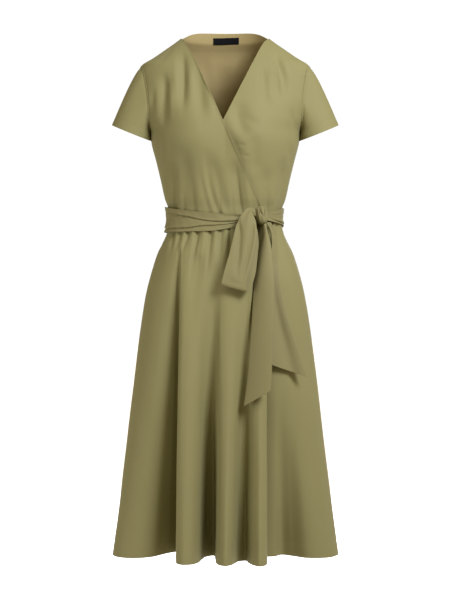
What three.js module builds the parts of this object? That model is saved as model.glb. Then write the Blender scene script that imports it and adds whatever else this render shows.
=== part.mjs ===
import * as THREE from "three";

// A short-sleeved wrap dress with a tie belt, held out in the shape it has when worn, with nobody in it.
// Millimetres, +Z up. The front faces -Y and the wearer's right side is at -X.
// The origin is midway between the two points where the shoulder seams meet the neckline.

// Driving dimensions
const CLOTH = 1.4; // one layer of crepe with its turnings
const BELT_CLOTH = 2.0; // the belt is a doubled tube of the same crepe
const SEAM_GAP = 0.3; // between neighbouring panels
const OVERLAP_OUT = 3.3; // the right front lies this far outside the left front
const BELT_OUT = 6.6; // outer face of the belt outside the waist
const ROUND = 2.2; // how square the body sections are: 2 is an ellipse

const NECK_HALF = 100; // side neck point from the centre
const NECK_BACK_HEIGHT = 23; // back neckline above the side neck points
const NECK_BACK_FLAT = 46; // half width of its level stretch
const SHOULDER_TIP = -65; // height of the armhole's top
const ARMPIT = -222; // height of the armhole's bottom
const WAIST = -424; // height of the waist seam
const HEM = -1212; // height of the hem at the side seams

// The wrap edges run straight down from just inside the side neck points, and cross above the bust.
const NECK_EDGE_HALF = 95;
const OVER_EDGE = { x: 84, z: -405 }; // where the right front's edge meets the belt
const CROSSING = { x: -6, z: -203 }; // where the left front's edge goes under the right front
const UNDERLAP_HALF = 52; // the left front's hidden edge goes this far across

// Sections of the upper body: height, half width, depth in front and behind.
const BODY = [
  { z: 24, half: 98, front: 34, back: 74 },
  { z: 0, half: 100, front: 38, back: 75 },
  { z: -20, half: 131, front: 54, back: 86 },
  { z: -45, half: 168, front: 68, back: 94 },
  { z: -65, half: 198, front: 77, back: 98 },
  { z: -90, half: 206, front: 86, back: 102 },
  { z: -143, half: 206, front: 100, back: 106 },
  { z: -190, half: 190, front: 110, back: 106 },
  { z: -222, half: 175.5, front: 114, back: 104 },
  { z: -241, half: 174, front: 115, back: 102 },
  { z: -284, half: 163.5, front: 113, back: 98 },
  { z: -331, half: 152, front: 107, back: 94 },
  { z: -378, half: 141.5, front: 100, back: 91 },
  { z: -400, half: 133, front: 90, back: 88 },
  { z: -424, half: 131, front: 88, back: 88 },
];

// Sections of the skirt's ground shape, on which the folds stand.
const SKIRT = [
  { z: -424, half: 131, front: 88, back: 88 },
  { z: -452, half: 136, front: 91, back: 91 },
  { z: -510, half: 162, front: 108, back: 116 },
  { z: -613, half: 189, front: 122, back: 140 },
  { z: -793, half: 214, front: 122, back: 150 },
  { z: -1000, half: 238, front: 108, back: 158 },
  { z: -1212, half: 265, front: 95, back: 166 },
];

// How far the armhole seams stand from the centre.
const ARMHOLE = [
  { z: -65, x: 198 },
  { z: -79, x: 190.5 },
  { z: -107, x: 185 },
  { z: -133, x: 181 },
  { z: -165, x: 179 },
  { z: -198, x: 177.5 },
  { z: -222, x: 175.5 },
];

// Bust shaping of the two fronts.
const CUP = { x: 80, z: -236, reachX: 60, reachZ: 72, out: 15 };

// Large soft troughs of the bodice, seen from the front: from one end to the other, half width and depth.
const FRONT_TROUGHS = [
  { name: "right neck gather", x1: -100, z1: -28, x2: -99, z2: -175, wide: 11, deep: 4.5 },
  { name: "right shoulder gather", x1: -142, z1: -78, x2: -140, z2: -215, wide: 12, deep: 5 },
  { name: "drape to the knot", x1: -44, z1: -270, x2: -4, z2: -395, wide: 15, deep: 4 },
  { name: "drape beside the wrap", x1: 18, z1: -295, x2: 38, z2: -392, wide: 15, deep: 4.2 },
  { name: "right side fold", x1: -119, z1: -300, x2: -117, z2: -392, wide: 11, deep: 4 },
  { name: "left neck gather", x1: 116, z1: -38, x2: 122, z2: -150, wide: 11, deep: 4.5 },
  { name: "left side fold", x1: 134, z1: -285, x2: 128, z2: -390, wide: 12, deep: 4 },
  { name: "bust drape", x1: 28, z1: -150, x2: 48, z2: -250, wide: 15, deep: 3 },
];
const BACK_TROUGHS = [
  { name: "left waist fold", x1: 62, z1: -290, x2: 56, z2: -395, wide: 14, deep: 4 },
  { name: "right waist fold", x1: -60, z1: -280, x2: -54, z2: -395, wide: 14, deep: 4 },
  { name: "left shoulder fold", x1: 128, z1: -110, x2: 112, z2: -230, wide: 14, deep: 3.5 },
  { name: "right shoulder fold", x1: -128, z1: -110, x2: -112, z2: -230, wide: 14, deep: 3.5 },
];

// Skirt folds, one row for each crest, edge or hollow, counterclockwise seen from above.
// waistX and hemX place it across the skirt, out is how far it stands from the ground shape at the hem,
// start is the share of the skirt's length above it that stays smooth, and lift raises the hem there.
const RIGHT_SKIRT_FOLDS = [
  { name: "right side seam", waistX: -999, hemX: -999, out: 0, start: 0, lift: 0 },
  { name: "side crest", waistX: -119, hemX: -222, out: -6, start: 0.1, lift: 0 },
  { name: "first hollow", waistX: -111, hemX: -154, out: -82, start: 0.04, lift: 7 },
  { name: "first hollow end", waistX: -104, hemX: -122, out: -74, start: 0.04, lift: 7 },
  { name: "first fold edge", waistX: -96, hemX: -110, out: 34, start: 0.03, lift: 1 },
  { name: "first fold crown", waistX: -76, hemX: -88, out: 62, start: 0.08, lift: 0 },
  { name: "first fold back", waistX: -56, hemX: -66, out: 34, start: 0.12, lift: 0 },
  { name: "second hollow", waistX: -40, hemX: -58, out: -44, start: 0.14, lift: 2 },
  { name: "second hollow end", waistX: -22, hemX: -33, out: -50, start: 0.14, lift: 2 },
  { name: "second fold edge", waistX: -6, hemX: -25, out: 38, start: 0.16, lift: 0 },
  { name: "second fold crown", waistX: 12, hemX: -4, out: 74, start: 0.12, lift: 0 },
  { name: "second fold back", waistX: 28, hemX: 11, out: 54, start: 0.12, lift: 0 },
  { name: "third hollow", waistX: 42, hemX: 26, out: 8, start: 0.12, lift: 0 },
  { name: "third fold edge", waistX: 58, hemX: 49, out: 34, start: 0.12, lift: 0 },
  { name: "third fold crown", waistX: 74, hemX: 68, out: 84, start: 0.1, lift: 0 },
  { name: "wrap edge", waistX: 90, hemX: 90, out: 44, start: 0.1, lift: 0 },
];
const LEFT_SKIRT_FOLDS = [
  { name: "underlap edge", waistX: -4, hemX: 10, out: -50, start: 0, lift: 4 },
  { name: "underlap", waistX: 40, hemX: 56, out: -52, start: 0, lift: 3 },
  { name: "hollow", waistX: 92, hemX: 112, out: -50, start: 0.05, lift: 3 },
  { name: "side crest", waistX: 118, hemX: 210, out: -8, start: 0.1, lift: 0 },
  { name: "left side seam", waistX: 999, hemX: 999, out: 0, start: 0, lift: 0 },
];
const BACK_SKIRT_FOLDS = [
  { name: "left side seam", waistX: 999, hemX: 999, out: 0, start: 0, lift: 0 },
  { name: "crest 1", waistX: 106, hemX: 214, out: 8, start: 0.15, lift: 0 },
  { name: "hollow 1", waistX: 88, hemX: 160, out: -34, start: 0.1, lift: 0 },
  { name: "crest 2", waistX: 66, hemX: 108, out: 30, start: 0.08, lift: 0 },
  { name: "hollow 2", waistX: 38, hemX: 62, out: -44, start: 0.06, lift: 0 },
  { name: "crest 3", waistX: 10, hemX: 12, out: 32, start: 0.08, lift: 0 },
  { name: "hollow 3", waistX: -16, hemX: -36, out: -42, start: 0.06, lift: 0 },
  { name: "crest 4", waistX: -42, hemX: -84, out: 34, start: 0.08, lift: 0 },
  { name: "hollow 4", waistX: -70, hemX: -134, out: -38, start: 0.1, lift: 0 },
  { name: "crest 5", waistX: -94, hemX: -188, out: 18, start: 0.12, lift: 0 },
  { name: "hollow 5", waistX: -110, hemX: -232, out: -14, start: 0.2, lift: 0 },
  { name: "right side seam", waistX: -999, hemX: -999, out: 0, start: 0, lift: 0 },
];

// Knot: its centre, half sizes, and the pleats round it with their depth as a share of its size.
const KNOT = { x: 83.5, y: -91.5, z: -420, halfX: 16.5, halfY: 12.5, halfZ: 20, pleats: 7, pleatDepth: 0.06 };

// Belt band round the waist: angle from the front centre, its top and bottom edge, and its stand-off.
const BELT_BAND = [
  { angle: 38, top: -413, bottom: -429, out: 5.2 },
  { angle: 60, top: -405, bottom: -434, out: -0.5 },
  { angle: 90, top: -398, bottom: -439, out: -2.8 },
  { angle: 135, top: -394, bottom: -450, out: -1 },
  { angle: 200, top: -392, bottom: -455, out: 0.6 },
  { angle: 270, top: -395, bottom: -454, out: 0.3 },
  { angle: 315, top: -405, bottom: -455, out: 0.5 },
  { angle: 348, top: -413, bottom: -454, out: 1 },
  { angle: 372, top: -417, bottom: -442, out: 1.5 },
  { angle: 385, top: -417, bottom: -433, out: 2 },
];
// Lengthwise creases of the band: place across it at each end, half width as a share of it, and depth.
const BAND_CREASES = [
  { name: "upper", start: 0.62, end: 0.5, wide: 0.09, deep: 1.2 },
  { name: "lower", start: 0.2, end: 0.3, wide: 0.08, deep: 1.5 },
];

// Hanging bow loop, row by row: from the knot down the front layer, round the bottom and up behind.
// tilt turns the strip's width from level.
const LOOP = [
  { x: 64.9, y: -95, z: -415, half: 6, tilt: 85 },
  { x: 58, y: -107, z: -409, half: 10, tilt: 62 },
  { x: 49, y: -117, z: -422, half: 20, tilt: 30 },
  { x: 46, y: -127, z: -460, half: 30, tilt: 13 },
  { x: 40, y: -137, z: -510, half: 34, tilt: 13 },
  { x: 33, y: -146, z: -560, half: 35.5, tilt: 15 },
  { x: 29, y: -147, z: -581, half: 36, tilt: 15 },
  { x: 28.5, y: -142.5, z: -586, half: 36, tilt: 15 },
  { x: 29.5, y: -138, z: -580, half: 36, tilt: 15 },
  { x: 36, y: -131, z: -550, half: 35, tilt: 14 },
  { x: 47, y: -115, z: -490, half: 31, tilt: 12 },
  { x: 54, y: -107, z: -450, half: 18, tilt: 18 },
  { x: 66.5, y: -96, z: -430.5, half: 6, tilt: 60 },
];

// Belt ends: left and right edge of the strip at each height, with how far forward each edge stands.
const FRONT_TAIL = [
  { z: -440.2, leftX: 79.5, leftY: -90, rightX: 90, rightY: -92 },
  { z: -465, leftX: 76, leftY: -95, rightX: 98, rightY: -99 },
  { z: -500, leftX: 70, leftY: -106, rightX: 106, rightY: -116 },
  { z: -580, leftX: 62, leftY: -125, rightX: 110, rightY: -142 },
  { z: -680, leftX: 56, leftY: -139, rightX: 107, rightY: -162 },
  { z: -780, leftX: 50, leftY: -149, rightX: 104, rightY: -175 },
];
const FRONT_TAIL_END = { leftZ: -853, leftX: 42, leftY: -152, rightZ: -817, rightX: 101, rightY: -180 };
const BACK_TAIL = [
  { z: -436.1, leftX: 85.5, leftY: -82, rightX: 98, rightY: -81 },
  { z: -465, leftX: 82, leftY: -88, rightX: 108, rightY: -84 },
  { z: -500, leftX: 79, leftY: -102, rightX: 117, rightY: -94 },
  { z: -560, leftX: 78, leftY: -117, rightX: 129, rightY: -104 },
  { z: -640, leftX: 80, leftY: -131, rightX: 148, rightY: -113 },
  { z: -720, leftX: 86, leftY: -142, rightX: 168, rightY: -117 },
];
const BACK_TAIL_END = { leftZ: -755, leftX: 90, leftY: -146, rightZ: -789, rightX: 186, rightY: -118 };

// Sleeve hem: an oval about its centre. slope is how far its outer end stands above its inner end,
// and rise how far its back stands above its front, both for each millimetre across.
const SLEEVE_HEM = { x: 222.3, z: -222.1, halfAcross: 44.3, halfDeep: 51, slope: 0.403, rise: 0.098 };
// Ways the cloth leaves the armhole at the shoulder and reaches the hem, seen from the front.
const SHOULDER_WAY = new THREE.Vector3(0.7, 0, -0.71);
const HEM_WAY = new THREE.Vector3(0.4, 0, -0.917);

const LABEL = { x: 2, half: 30.5, top: 13.5, bottom: -2.5, thick: 0.7 };

const rad = THREE.MathUtils.degToRad;
const lerp = THREE.MathUtils.lerp;
const smooth = (t) => THREE.MathUtils.smoothstep(t, 0, 1);

// One column of a table at a place along its key, by a monotone cubic through the rows.
function tableAt(table, key, name, at) {
  const sign = table[0][key] < table[table.length - 1][key] ? 1 : -1;
  const keys = table.map((row) => sign * row[key]);
  const values = table.map((row) => row[name]);
  const place = THREE.MathUtils.clamp(sign * at, keys[0], keys[keys.length - 1]);
  let i = 0;
  while (i < keys.length - 2 && place > keys[i + 1]) i++;
  const slope = (k) => (values[k + 1] - values[k]) / (keys[k + 1] - keys[k]);
  const tangent = (k) => {
    if (k === 0) return slope(0);
    if (k === keys.length - 1) return slope(k - 1);
    const before = slope(k - 1);
    const after = slope(k);
    return before * after <= 0 ? 0 : (2 * before * after) / (before + after);
  };
  const step = keys[i + 1] - keys[i];
  const t = (place - keys[i]) / step;
  return (
    values[i] * (1 + 2 * t) * (1 - t) ** 2 +
    tangent(i) * step * t * (1 - t) ** 2 +
    values[i + 1] * t * t * (3 - 2 * t) +
    tangent(i + 1) * step * t * t * (t - 1)
  );
}

// A power that keeps its sign, for the superellipse sections.
const signedPower = (value, power) => Math.sign(value) * Math.abs(value) ** power;

// Point of a section at an angle from the front centre, positive towards +X.
function ringPoint(table, angle, z) {
  const sine = signedPower(Math.sin(rad(angle)), 2 / ROUND);
  const cosine = signedPower(Math.cos(rad(angle)), 2 / ROUND);
  const depth = tableAt(table, "z", cosine > 0 ? "front" : "back", z);
  return new THREE.Vector3(tableAt(table, "z", "half", z) * sine, -depth * cosine, z);
}

// The angle, under 90 degrees, at which a section is x wide of the centre.
function angleAt(table, x, z) {
  const share = THREE.MathUtils.clamp(Math.abs(x) / tableAt(table, "z", "half", z), 0, 1);
  return Math.sign(x) * THREE.MathUtils.radToDeg(Math.asin(share ** (ROUND / 2)));
}

// How deep the troughs are at a point seen from the front: each is a soft groove along its line.
function troughDepth(troughs, x, z) {
  let depth = 0;
  for (const fold of troughs) {
    const runX = fold.x2 - fold.x1;
    const runZ = fold.z2 - fold.z1;
    const along = ((x - fold.x1) * runX + (z - fold.z1) * runZ) / (runX ** 2 + runZ ** 2);
    const held = THREE.MathUtils.clamp(along, 0, 1);
    const away = Math.hypot(x - fold.x1 - held * runX, z - fold.z1 - held * runZ);
    const ends = smooth(held / 0.3) * smooth((1 - held) / 0.3);
    depth += fold.deep * ends * Math.exp(-((away / fold.wide) ** 2));
  }
  return depth;
}

// Bodice surface: the body section, with bust shaping in front, troughs, and a stand-off for the wrap.
function bodicePoint(angle, z, troughs, standOff) {
  const p = ringPoint(BODY, angle, z);
  const facing = Math.cos(rad(angle));
  if (facing > 0) {
    const across = (Math.abs(p.x) - CUP.x) / CUP.reachX;
    const down = (z - CUP.z) / CUP.reachZ;
    p.y -= CUP.out * Math.exp(-(across ** 2) - down ** 2) * Math.min(1, 1.6 * facing);
  }
  const push = standOff - troughDepth(troughs, p.x, z) * Math.min(1, 2 * Math.abs(facing));
  const half = tableAt(BODY, "z", "half", z);
  const outward = new THREE.Vector3(p.x / half ** 2, p.y / 100 ** 2, 0).normalize();
  return p.addScaledVector(outward, push);
}

// A thin closed wall: the surface's grid, the same grid moved in along the normals, and the rims between.
// u runs counterclockwise seen from above and v upwards, so that the normals point out.
function wall(surface, columns, rows, thickness, closed = false) {
  const across = closed ? columns : columns + 1;
  const outer = [];
  const inner = [];
  const step = 1e-3;
  for (let j = 0; j <= rows; j++) {
    for (let i = 0; i < across; i++) {
      const u = i / columns;
      const v = j / rows;
      const u0 = closed ? u - step : Math.max(0, u - step);
      const u1 = closed ? u + step : Math.min(1, u + step);
      const along = surface(u1, v).sub(surface(u0, v));
      const up = surface(u, Math.min(1, v + step)).sub(surface(u, Math.max(0, v - step)));
      const p = surface(u, v);
      const normal = along.cross(up).normalize();
      outer.push(p);
      inner.push(p.clone().addScaledVector(normal, -thickness));
    }
  }
  const faces = [];
  for (let j = 0; j < rows; j++) {
    for (let i = 0; i < columns; i++) {
      const next = (i + 1) % across;
      const a = j * across + i;
      const b = j * across + next;
      const c = (j + 1) * across + next;
      const d = (j + 1) * across + i;
      faces.push([a, b, c], [a, c, d]);
    }
  }
  return closeWall(outer, inner, faces);
}

// Joins an outer and an inner sheet with the same faces into one closed body.
function closeWall(outer, inner, faces) {
  const shift = outer.length;
  const edges = new Map();
  for (const [a, b, c] of faces) {
    for (const [from, to] of [[a, b], [b, c], [c, a]]) {
      const twin = to + "-" + from;
      if (edges.has(twin)) edges.delete(twin);
      else edges.set(from + "-" + to, [from, to]);
    }
  }
  const index = faces.flat();
  for (const [a, b, c] of faces) index.push(a + shift, c + shift, b + shift);
  for (const [from, to] of edges.values()) {
    index.push(to, from, from + shift, to, from + shift, to + shift);
  }
  const geometry = new THREE.BufferGeometry().setFromPoints([...outer, ...inner]);
  geometry.setIndex(index);
  geometry.computeVertexNormals();
  return geometry;
}

// Spreads rows between fixed heights: levels [z0, z1, ...] with a number of rows in each stretch.
function heightAt(levels, counts, v) {
  const total = counts.reduce((sum, n) => sum + n, 0);
  let row = v * total;
  let k = 0;
  while (k < counts.length - 1 && row > counts[k]) {
    row -= counts[k];
    k++;
  }
  return lerp(levels[k], levels[k + 1], row / counts[k]);
}

// Angle of the side seam, armhole or shoulder seam, which bounds a bodice panel at this height.
function sideAngle(z) {
  if (z <= ARMPIT || z >= SHOULDER_TIP) return 90;
  return angleAt(BODY, tableAt(ARMHOLE, "z", "x", z), z);
}

// Place of each wrap edge at a height.
const overEdgeX = (z) => lerp(-NECK_EDGE_HALF, OVER_EDGE.x, THREE.MathUtils.clamp(z / OVER_EDGE.z, 0, 1));
const underEdgeX = (z) => Math.max(-UNDERLAP_HALF, lerp(NECK_EDGE_HALF, CROSSING.x, z / CROSSING.z));

// A seam's share of the gap, as an angle at the body's side.
const SEAM_ANGLE = 0.12;
const BODICE_BOTTOM = WAIST + SEAM_GAP / 2;
const BELT_TOP = -388;
const ARMHOLE_BEND = -96;
const FRONT_LEVELS = [BODICE_BOTTOM, BELT_TOP, ARMPIT, ARMHOLE_BEND, SHOULDER_TIP, -1];
const FRONT_ROWS = [3, 6, 4, 3, 5];

// Wearer's right front, which wraps over: from the right side to its edge across the body.
function rightFront(u, v) {
  const z = heightAt(FRONT_LEVELS, FRONT_ROWS, v);
  const from = -sideAngle(z) + SEAM_ANGLE;
  const to = angleAt(BODY, overEdgeX(z), z);
  const spread = smooth((to - from) / 60);
  return bodicePoint(lerp(from, to, u), z, FRONT_TROUGHS, OVERLAP_OUT * smooth(u * 1.6) * spread);
}

// Wearer's left front, which lies under: from its hidden edge to the left side.
function leftFront(u, v) {
  const z = heightAt(FRONT_LEVELS, FRONT_ROWS, v);
  const from = angleAt(BODY, underEdgeX(z), z);
  const to = sideAngle(z) - SEAM_ANGLE;
  return bodicePoint(lerp(from, to, u), z, FRONT_TROUGHS, 0);
}

// Back: from the left side to the right side, up to the shoulder seams and the back neckline.
const BACK_LEVELS = [BODICE_BOTTOM, BELT_TOP, ARMPIT, ARMHOLE_BEND, SHOULDER_TIP, 0, NECK_BACK_HEIGHT];
const BACK_ROWS = [3, 4, 4, 3, 4, 3];
function backPanel(u, v) {
  const z = heightAt(BACK_LEVELS, BACK_ROWS, v);
  let edge = sideAngle(z);
  if (z > 0) {
    const rise = z / NECK_BACK_HEIGHT;
    edge = angleAt(BODY, lerp(NECK_HALF - 4, NECK_BACK_FLAT, rise ** 1.5), z);
  }
  return bodicePoint(lerp(180 - edge + SEAM_ANGLE, 180 + edge - SEAM_ANGLE, u), z, BACK_TROUGHS, 0);
}

// Smooth curve through neighbouring fold points, with its ends leaning on the points beyond.
function foldCurve(points, before, after, u) {
  const last = points.length - 1;
  const i = Math.min(Math.floor(u * last), last - 1);
  const t = u * last - i;
  const p0 = i === 0 ? before : points[i - 1];
  const p1 = points[i];
  const p2 = points[i + 1];
  const p3 = i + 2 > last ? after : points[i + 2];
  const blend = (name) => {
    const [a, b, c, d] = [p0[name], p1[name], p2[name], p3[name]];
    return 0.5 * (2 * b + (c - a) * t + (2 * a - 5 * b + 4 * c - d) * t * t + (3 * b - a - 3 * c + d) * t ** 3);
  };
  return [blend("x"), blend("y"), blend("lift")];
}

// Where a fold row stands at a share of the way from waist to hem. face is -1 in front and 1 behind.
function foldPoint(row, drop, face, standOff) {
  const z = lerp(WAIST, HEM, drop);
  const half = tableAt(SKIRT, "z", "half", z);
  const depth = tableAt(SKIRT, "z", face < 0 ? "front" : "back", z);
  const x = THREE.MathUtils.clamp(lerp(row.waistX, row.hemX, drop), -half, half);
  const y = face * depth * (1 - (Math.abs(x) / half) ** ROUND) ** (1 / ROUND);
  const grown = smooth(THREE.MathUtils.clamp((drop - row.start) / (1.1 - row.start), 0, 1));
  const outward = new THREE.Vector2(x / half ** 2, y / depth ** 2).normalize();
  const push = row.out * grown + standOff;
  return { x: x + outward.x * push, y: y + outward.y * push, lift: row.lift * grown };
}

// Skirt panel surface: u along its fold rows, v up from the hem to the waist seam.
// before and after are the neighbouring panel's first rows beyond a seam, or null at a free edge.
const SKIRT_LEVELS = [HEM, -800, -560, -456, WAIST];
const SKIRT_ROWS = [3, 3, 2, 2];
function skirtSurface(rows, face, standOff, before, after) {
  return (u, v) => {
    const drop = (heightAt(SKIRT_LEVELS, SKIRT_ROWS, v) - WAIST) / (HEM - WAIST);
    const last = rows.length - 1;
    const points = rows.map((row, i) => foldPoint(row, drop, face, standOff(i / last)));
    const beyond = (row, end, next) => {
      if (row) return foldPoint(row, drop, -face, 0);
      return { x: 2 * end.x - next.x, y: 2 * end.y - next.y, lift: end.lift };
    };
    const [x, y, lift] = foldCurve(
      points,
      beyond(before, points[0], points[1]),
      beyond(after, points[last], points[last - 1]),
      u,
    );
    const z = lerp(WAIST - SEAM_GAP / 2, HEM + lift, drop);
    return new THREE.Vector3(x, y + (face * SEAM_GAP) / 2, z);
  };
}
const overlapOut = (u) => OVERLAP_OUT * smooth(u * 3);
const flush = () => 0;
const rightSkirt = skirtSurface(RIGHT_SKIRT_FOLDS, -1, overlapOut, BACK_SKIRT_FOLDS.at(-2), null);
const leftSkirt = skirtSurface(LEFT_SKIRT_FOLDS, -1, flush, null, BACK_SKIRT_FOLDS.at(1));
const backSkirt = skirtSurface(BACK_SKIRT_FOLDS, 1, flush, LEFT_SKIRT_FOLDS.at(-2), RIGHT_SKIRT_FOLDS.at(1));

// Armhole point at an angle round the sleeve head: 0 at the armpit, 180 at the shoulder, front in between.
function armholePoint(side, turn) {
  const z = lerp(ARMPIT, SHOULDER_TIP, (1 - Math.cos(rad(turn))) / 2);
  const x = tableAt(ARMHOLE, "z", "x", z);
  const front = Math.sin(rad(turn)) >= 0;
  const depth = tableAt(BODY, "z", front ? "front" : "back", z);
  const share = Math.min(1, x / tableAt(BODY, "z", "half", z));
  const y = (front ? -1 : 1) * depth * (1 - share ** ROUND) ** (1 / ROUND);
  return new THREE.Vector3(side * (x + SEAM_GAP + 0.4), y * 0.98, z);
}

// Sleeve: from the armhole, out along the shoulder and then down to an oval hem.
function sleeveSurface(side) {
  const mirror = new THREE.Vector3(side, 1, 1);
  const hemWay = HEM_WAY.clone().multiply(mirror);
  const shoulderWay = SHOULDER_WAY.clone().multiply(mirror);
  return (u, v) => {
    const turn = side > 0 ? 360 * u : 360 * (1 - u);
    const head = armholePoint(side, turn % 360);
    const across = -SLEEVE_HEM.halfAcross * Math.cos(rad(turn));
    const deep = -SLEEVE_HEM.halfDeep * Math.sin(rad(turn));
    const height = SLEEVE_HEM.z + across * SLEEVE_HEM.slope + deep * SLEEVE_HEM.rise;
    const hem = new THREE.Vector3(side * (SLEEVE_HEM.x + across), deep, height);
    const topness = ((1 - Math.cos(rad(turn))) / 2) ** 3;
    const leave = hemWay.clone().lerp(shoulderWay, topness).normalize();
    const reach = head.distanceTo(hem);
    const t = 1 - v;
    return head
      .clone()
      .multiplyScalar((1 + 2 * t) * (1 - t) ** 2)
      .addScaledVector(leave, reach * lerp(1, 0.5, topness) * t * (1 - t) ** 2)
      .addScaledVector(hem, t * t * (3 - 2 * t))
      .addScaledVector(hemWay, reach * t * t * (t - 1));
  };
}

// Belt band: it follows the waist outside both fronts, with creases that gather towards the knot.
function beltSurface(u, v) {
  const first = BELT_BAND[0].angle;
  const angle = lerp(first, BELT_BAND[BELT_BAND.length - 1].angle, u);
  const at = (name) => tableAt(BELT_BAND, "angle", name, angle);
  const z = lerp(at("bottom"), at("top"), v);
  const p = ringPoint(z > WAIST ? BODY : SKIRT, angle, z);
  let crease = 0;
  for (const line of BAND_CREASES) {
    const away = (v - lerp(line.start, line.end, u)) / line.wide;
    crease += line.deep * Math.exp(-(away ** 2)) * smooth((u - 0.35) / 0.3);
  }
  const outward = new THREE.Vector3(p.x, p.y * 1.5, 0).normalize();
  return p.addScaledVector(outward, BELT_OUT + at("out") - crease);
}

// Knot: a rounded lump with pleats that run down over it.
function knotGeometry() {
  const geometry = new THREE.SphereGeometry(1, 26, 16);
  const place = geometry.getAttribute("position");
  const p = new THREE.Vector3();
  for (let i = 0; i < place.count; i++) {
    p.fromBufferAttribute(place, i);
    const pleat = Math.cos(KNOT.pleats * Math.atan2(p.x, -p.y + 0.4)) * (1 - p.z * p.z);
    p.multiplyScalar(1 + KNOT.pleatDepth * pleat);
    place.setXYZ(i, KNOT.x + p.x * KNOT.halfX, KNOT.y + p.y * KNOT.halfY, KNOT.z + p.z * KNOT.halfZ);
  }
  geometry.computeVertexNormals();
  return geometry;
}

// Bow loop: a strip carried along the rows of its table, bowed a little across.
function loopSurface(u, v) {
  const row = v * (LOOP.length - 1);
  const numbered = LOOP.map((entry, i) => ({ ...entry, i }));
  const at = (name) => tableAt(numbered, "i", name, row);
  const side = (u - 0.5) * 2;
  const tilt = rad(at("tilt"));
  const bow = 4 * (1 - side * side) * Math.cos(Math.PI * v);
  return new THREE.Vector3(
    at("x") + side * at("half") * Math.cos(tilt),
    at("y") - bow,
    at("z") - side * at("half") * Math.sin(tilt),
  );
}

// Belt end: a strip between a left and a right edge, with a lengthwise ridge, cut on the slant.
function tailSurface(table, end, ridge) {
  return (u, v) => {
    const drop = 1 - v;
    const top = table[0].z;
    const last = table[table.length - 1];
    const edge = (side, endZ) => {
      const z = lerp(top, endZ, drop);
      const beyond = THREE.MathUtils.clamp((last.z - z) / (last.z - endZ), 0, 1);
      return new THREE.Vector3(
        lerp(tableAt(table, "z", side + "X", z), end[side + "X"], beyond),
        lerp(tableAt(table, "z", side + "Y", z), end[side + "Y"], beyond),
        z,
      );
    };
    const left = edge("left", end.leftZ);
    const right = edge("right", end.rightZ);
    const wave = Math.sin(Math.PI * 2 * u) * ridge * (1 - drop * 0.75);
    return left.lerp(right, u).add(new THREE.Vector3(0, -wave, 0));
  };
}

// Neck label: a small woven rectangle sewn to the inside of the back, below the neckline.
function labelSurface(u, v) {
  const z = lerp(LABEL.bottom, LABEL.top, v);
  const x = lerp(LABEL.x + LABEL.half, LABEL.x - LABEL.half, u);
  const side = angleAt(BODY, x, z);
  const p = bodicePoint(180 - side, z, [], 0);
  p.y -= CLOTH + 2 * SEAM_GAP;
  return p;
}

const crepe = new THREE.MeshStandardMaterial({ color: 0x9a9563, roughness: 0.82, metalness: 0 });
const beltCrepe = new THREE.MeshStandardMaterial({ color: 0x98925f, roughness: 0.8, metalness: 0 });
const labelSatin = new THREE.MeshStandardMaterial({ color: 0x141416, roughness: 0.55, metalness: 0 });

const dress = new THREE.Group();
function add(name, geometry, material) {
  const mesh = new THREE.Mesh(geometry, material);
  mesh.name = name;
  dress.add(mesh);
}

add("bodice_front_right", wall(rightFront, 20, 21, CLOTH), crepe);
add("bodice_front_left", wall(leftFront, 18, 21, CLOTH), crepe);
add("bodice_back", wall(backPanel, 22, 21, CLOTH), crepe);
add("sleeve_right", wall(sleeveSurface(-1), 28, 7, CLOTH, true), crepe);
add("sleeve_left", wall(sleeveSurface(1), 28, 7, CLOTH, true), crepe);
add("skirt_front_right", wall(rightSkirt, 45, 10, CLOTH), crepe);
add("skirt_front_left", wall(leftSkirt, 16, 10, CLOTH), crepe);
add("skirt_back", wall(backSkirt, 44, 10, CLOTH), crepe);
add("belt_band", wall(beltSurface, 46, 8, BELT_CLOTH), beltCrepe);
add("belt_knot", knotGeometry(), beltCrepe);
add("belt_loop", wall(loopSurface, 6, 36, BELT_CLOTH), beltCrepe);
add("belt_tail_front", wall(tailSurface(FRONT_TAIL, FRONT_TAIL_END, 5), 6, 12, BELT_CLOTH), beltCrepe);
add("belt_tail_back", wall(tailSurface(BACK_TAIL, BACK_TAIL_END, 3), 6, 12, BELT_CLOTH), beltCrepe);
add("neck_label", wall(labelSurface, 8, 3, LABEL.thick), labelSatin);

export default dress;
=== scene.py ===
"""Short-sleeved crepe wrap dress with a tie belt, in its worn shape: the visible cloth over the solids."""

import bpy
import numpy as np
from bpy.props import FloatProperty, FloatVectorProperty, PointerProperty
from bpy.types import Operator, Panel, PropertyGroup
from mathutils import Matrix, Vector


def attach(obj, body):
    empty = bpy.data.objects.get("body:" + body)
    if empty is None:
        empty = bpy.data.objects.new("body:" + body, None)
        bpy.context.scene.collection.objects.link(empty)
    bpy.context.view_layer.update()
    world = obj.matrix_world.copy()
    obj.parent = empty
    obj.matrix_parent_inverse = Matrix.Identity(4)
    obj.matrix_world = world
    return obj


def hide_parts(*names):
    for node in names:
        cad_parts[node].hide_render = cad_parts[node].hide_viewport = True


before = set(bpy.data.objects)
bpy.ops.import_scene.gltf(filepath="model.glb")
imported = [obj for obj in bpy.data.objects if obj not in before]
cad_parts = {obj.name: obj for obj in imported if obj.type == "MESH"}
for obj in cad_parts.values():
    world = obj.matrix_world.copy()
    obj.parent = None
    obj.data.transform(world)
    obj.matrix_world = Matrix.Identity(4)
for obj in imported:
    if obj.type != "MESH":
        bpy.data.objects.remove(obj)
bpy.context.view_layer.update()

bl_info = {
    "name": "Wrap Dress",
    "version": (1, 0, 0),
    "blender": (4, 5, 0),
    "location": "View3D > Sidebar > Dress",
    "description": "Makes the cloth of a crepe wrap dress, its tie belt and its label",
    "category": "Add Mesh",
}

# All shapes are worked out in millimetres in the row frame: +Z up, front towards -Y, wearer's right at -X.
MM = 0.001

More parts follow.
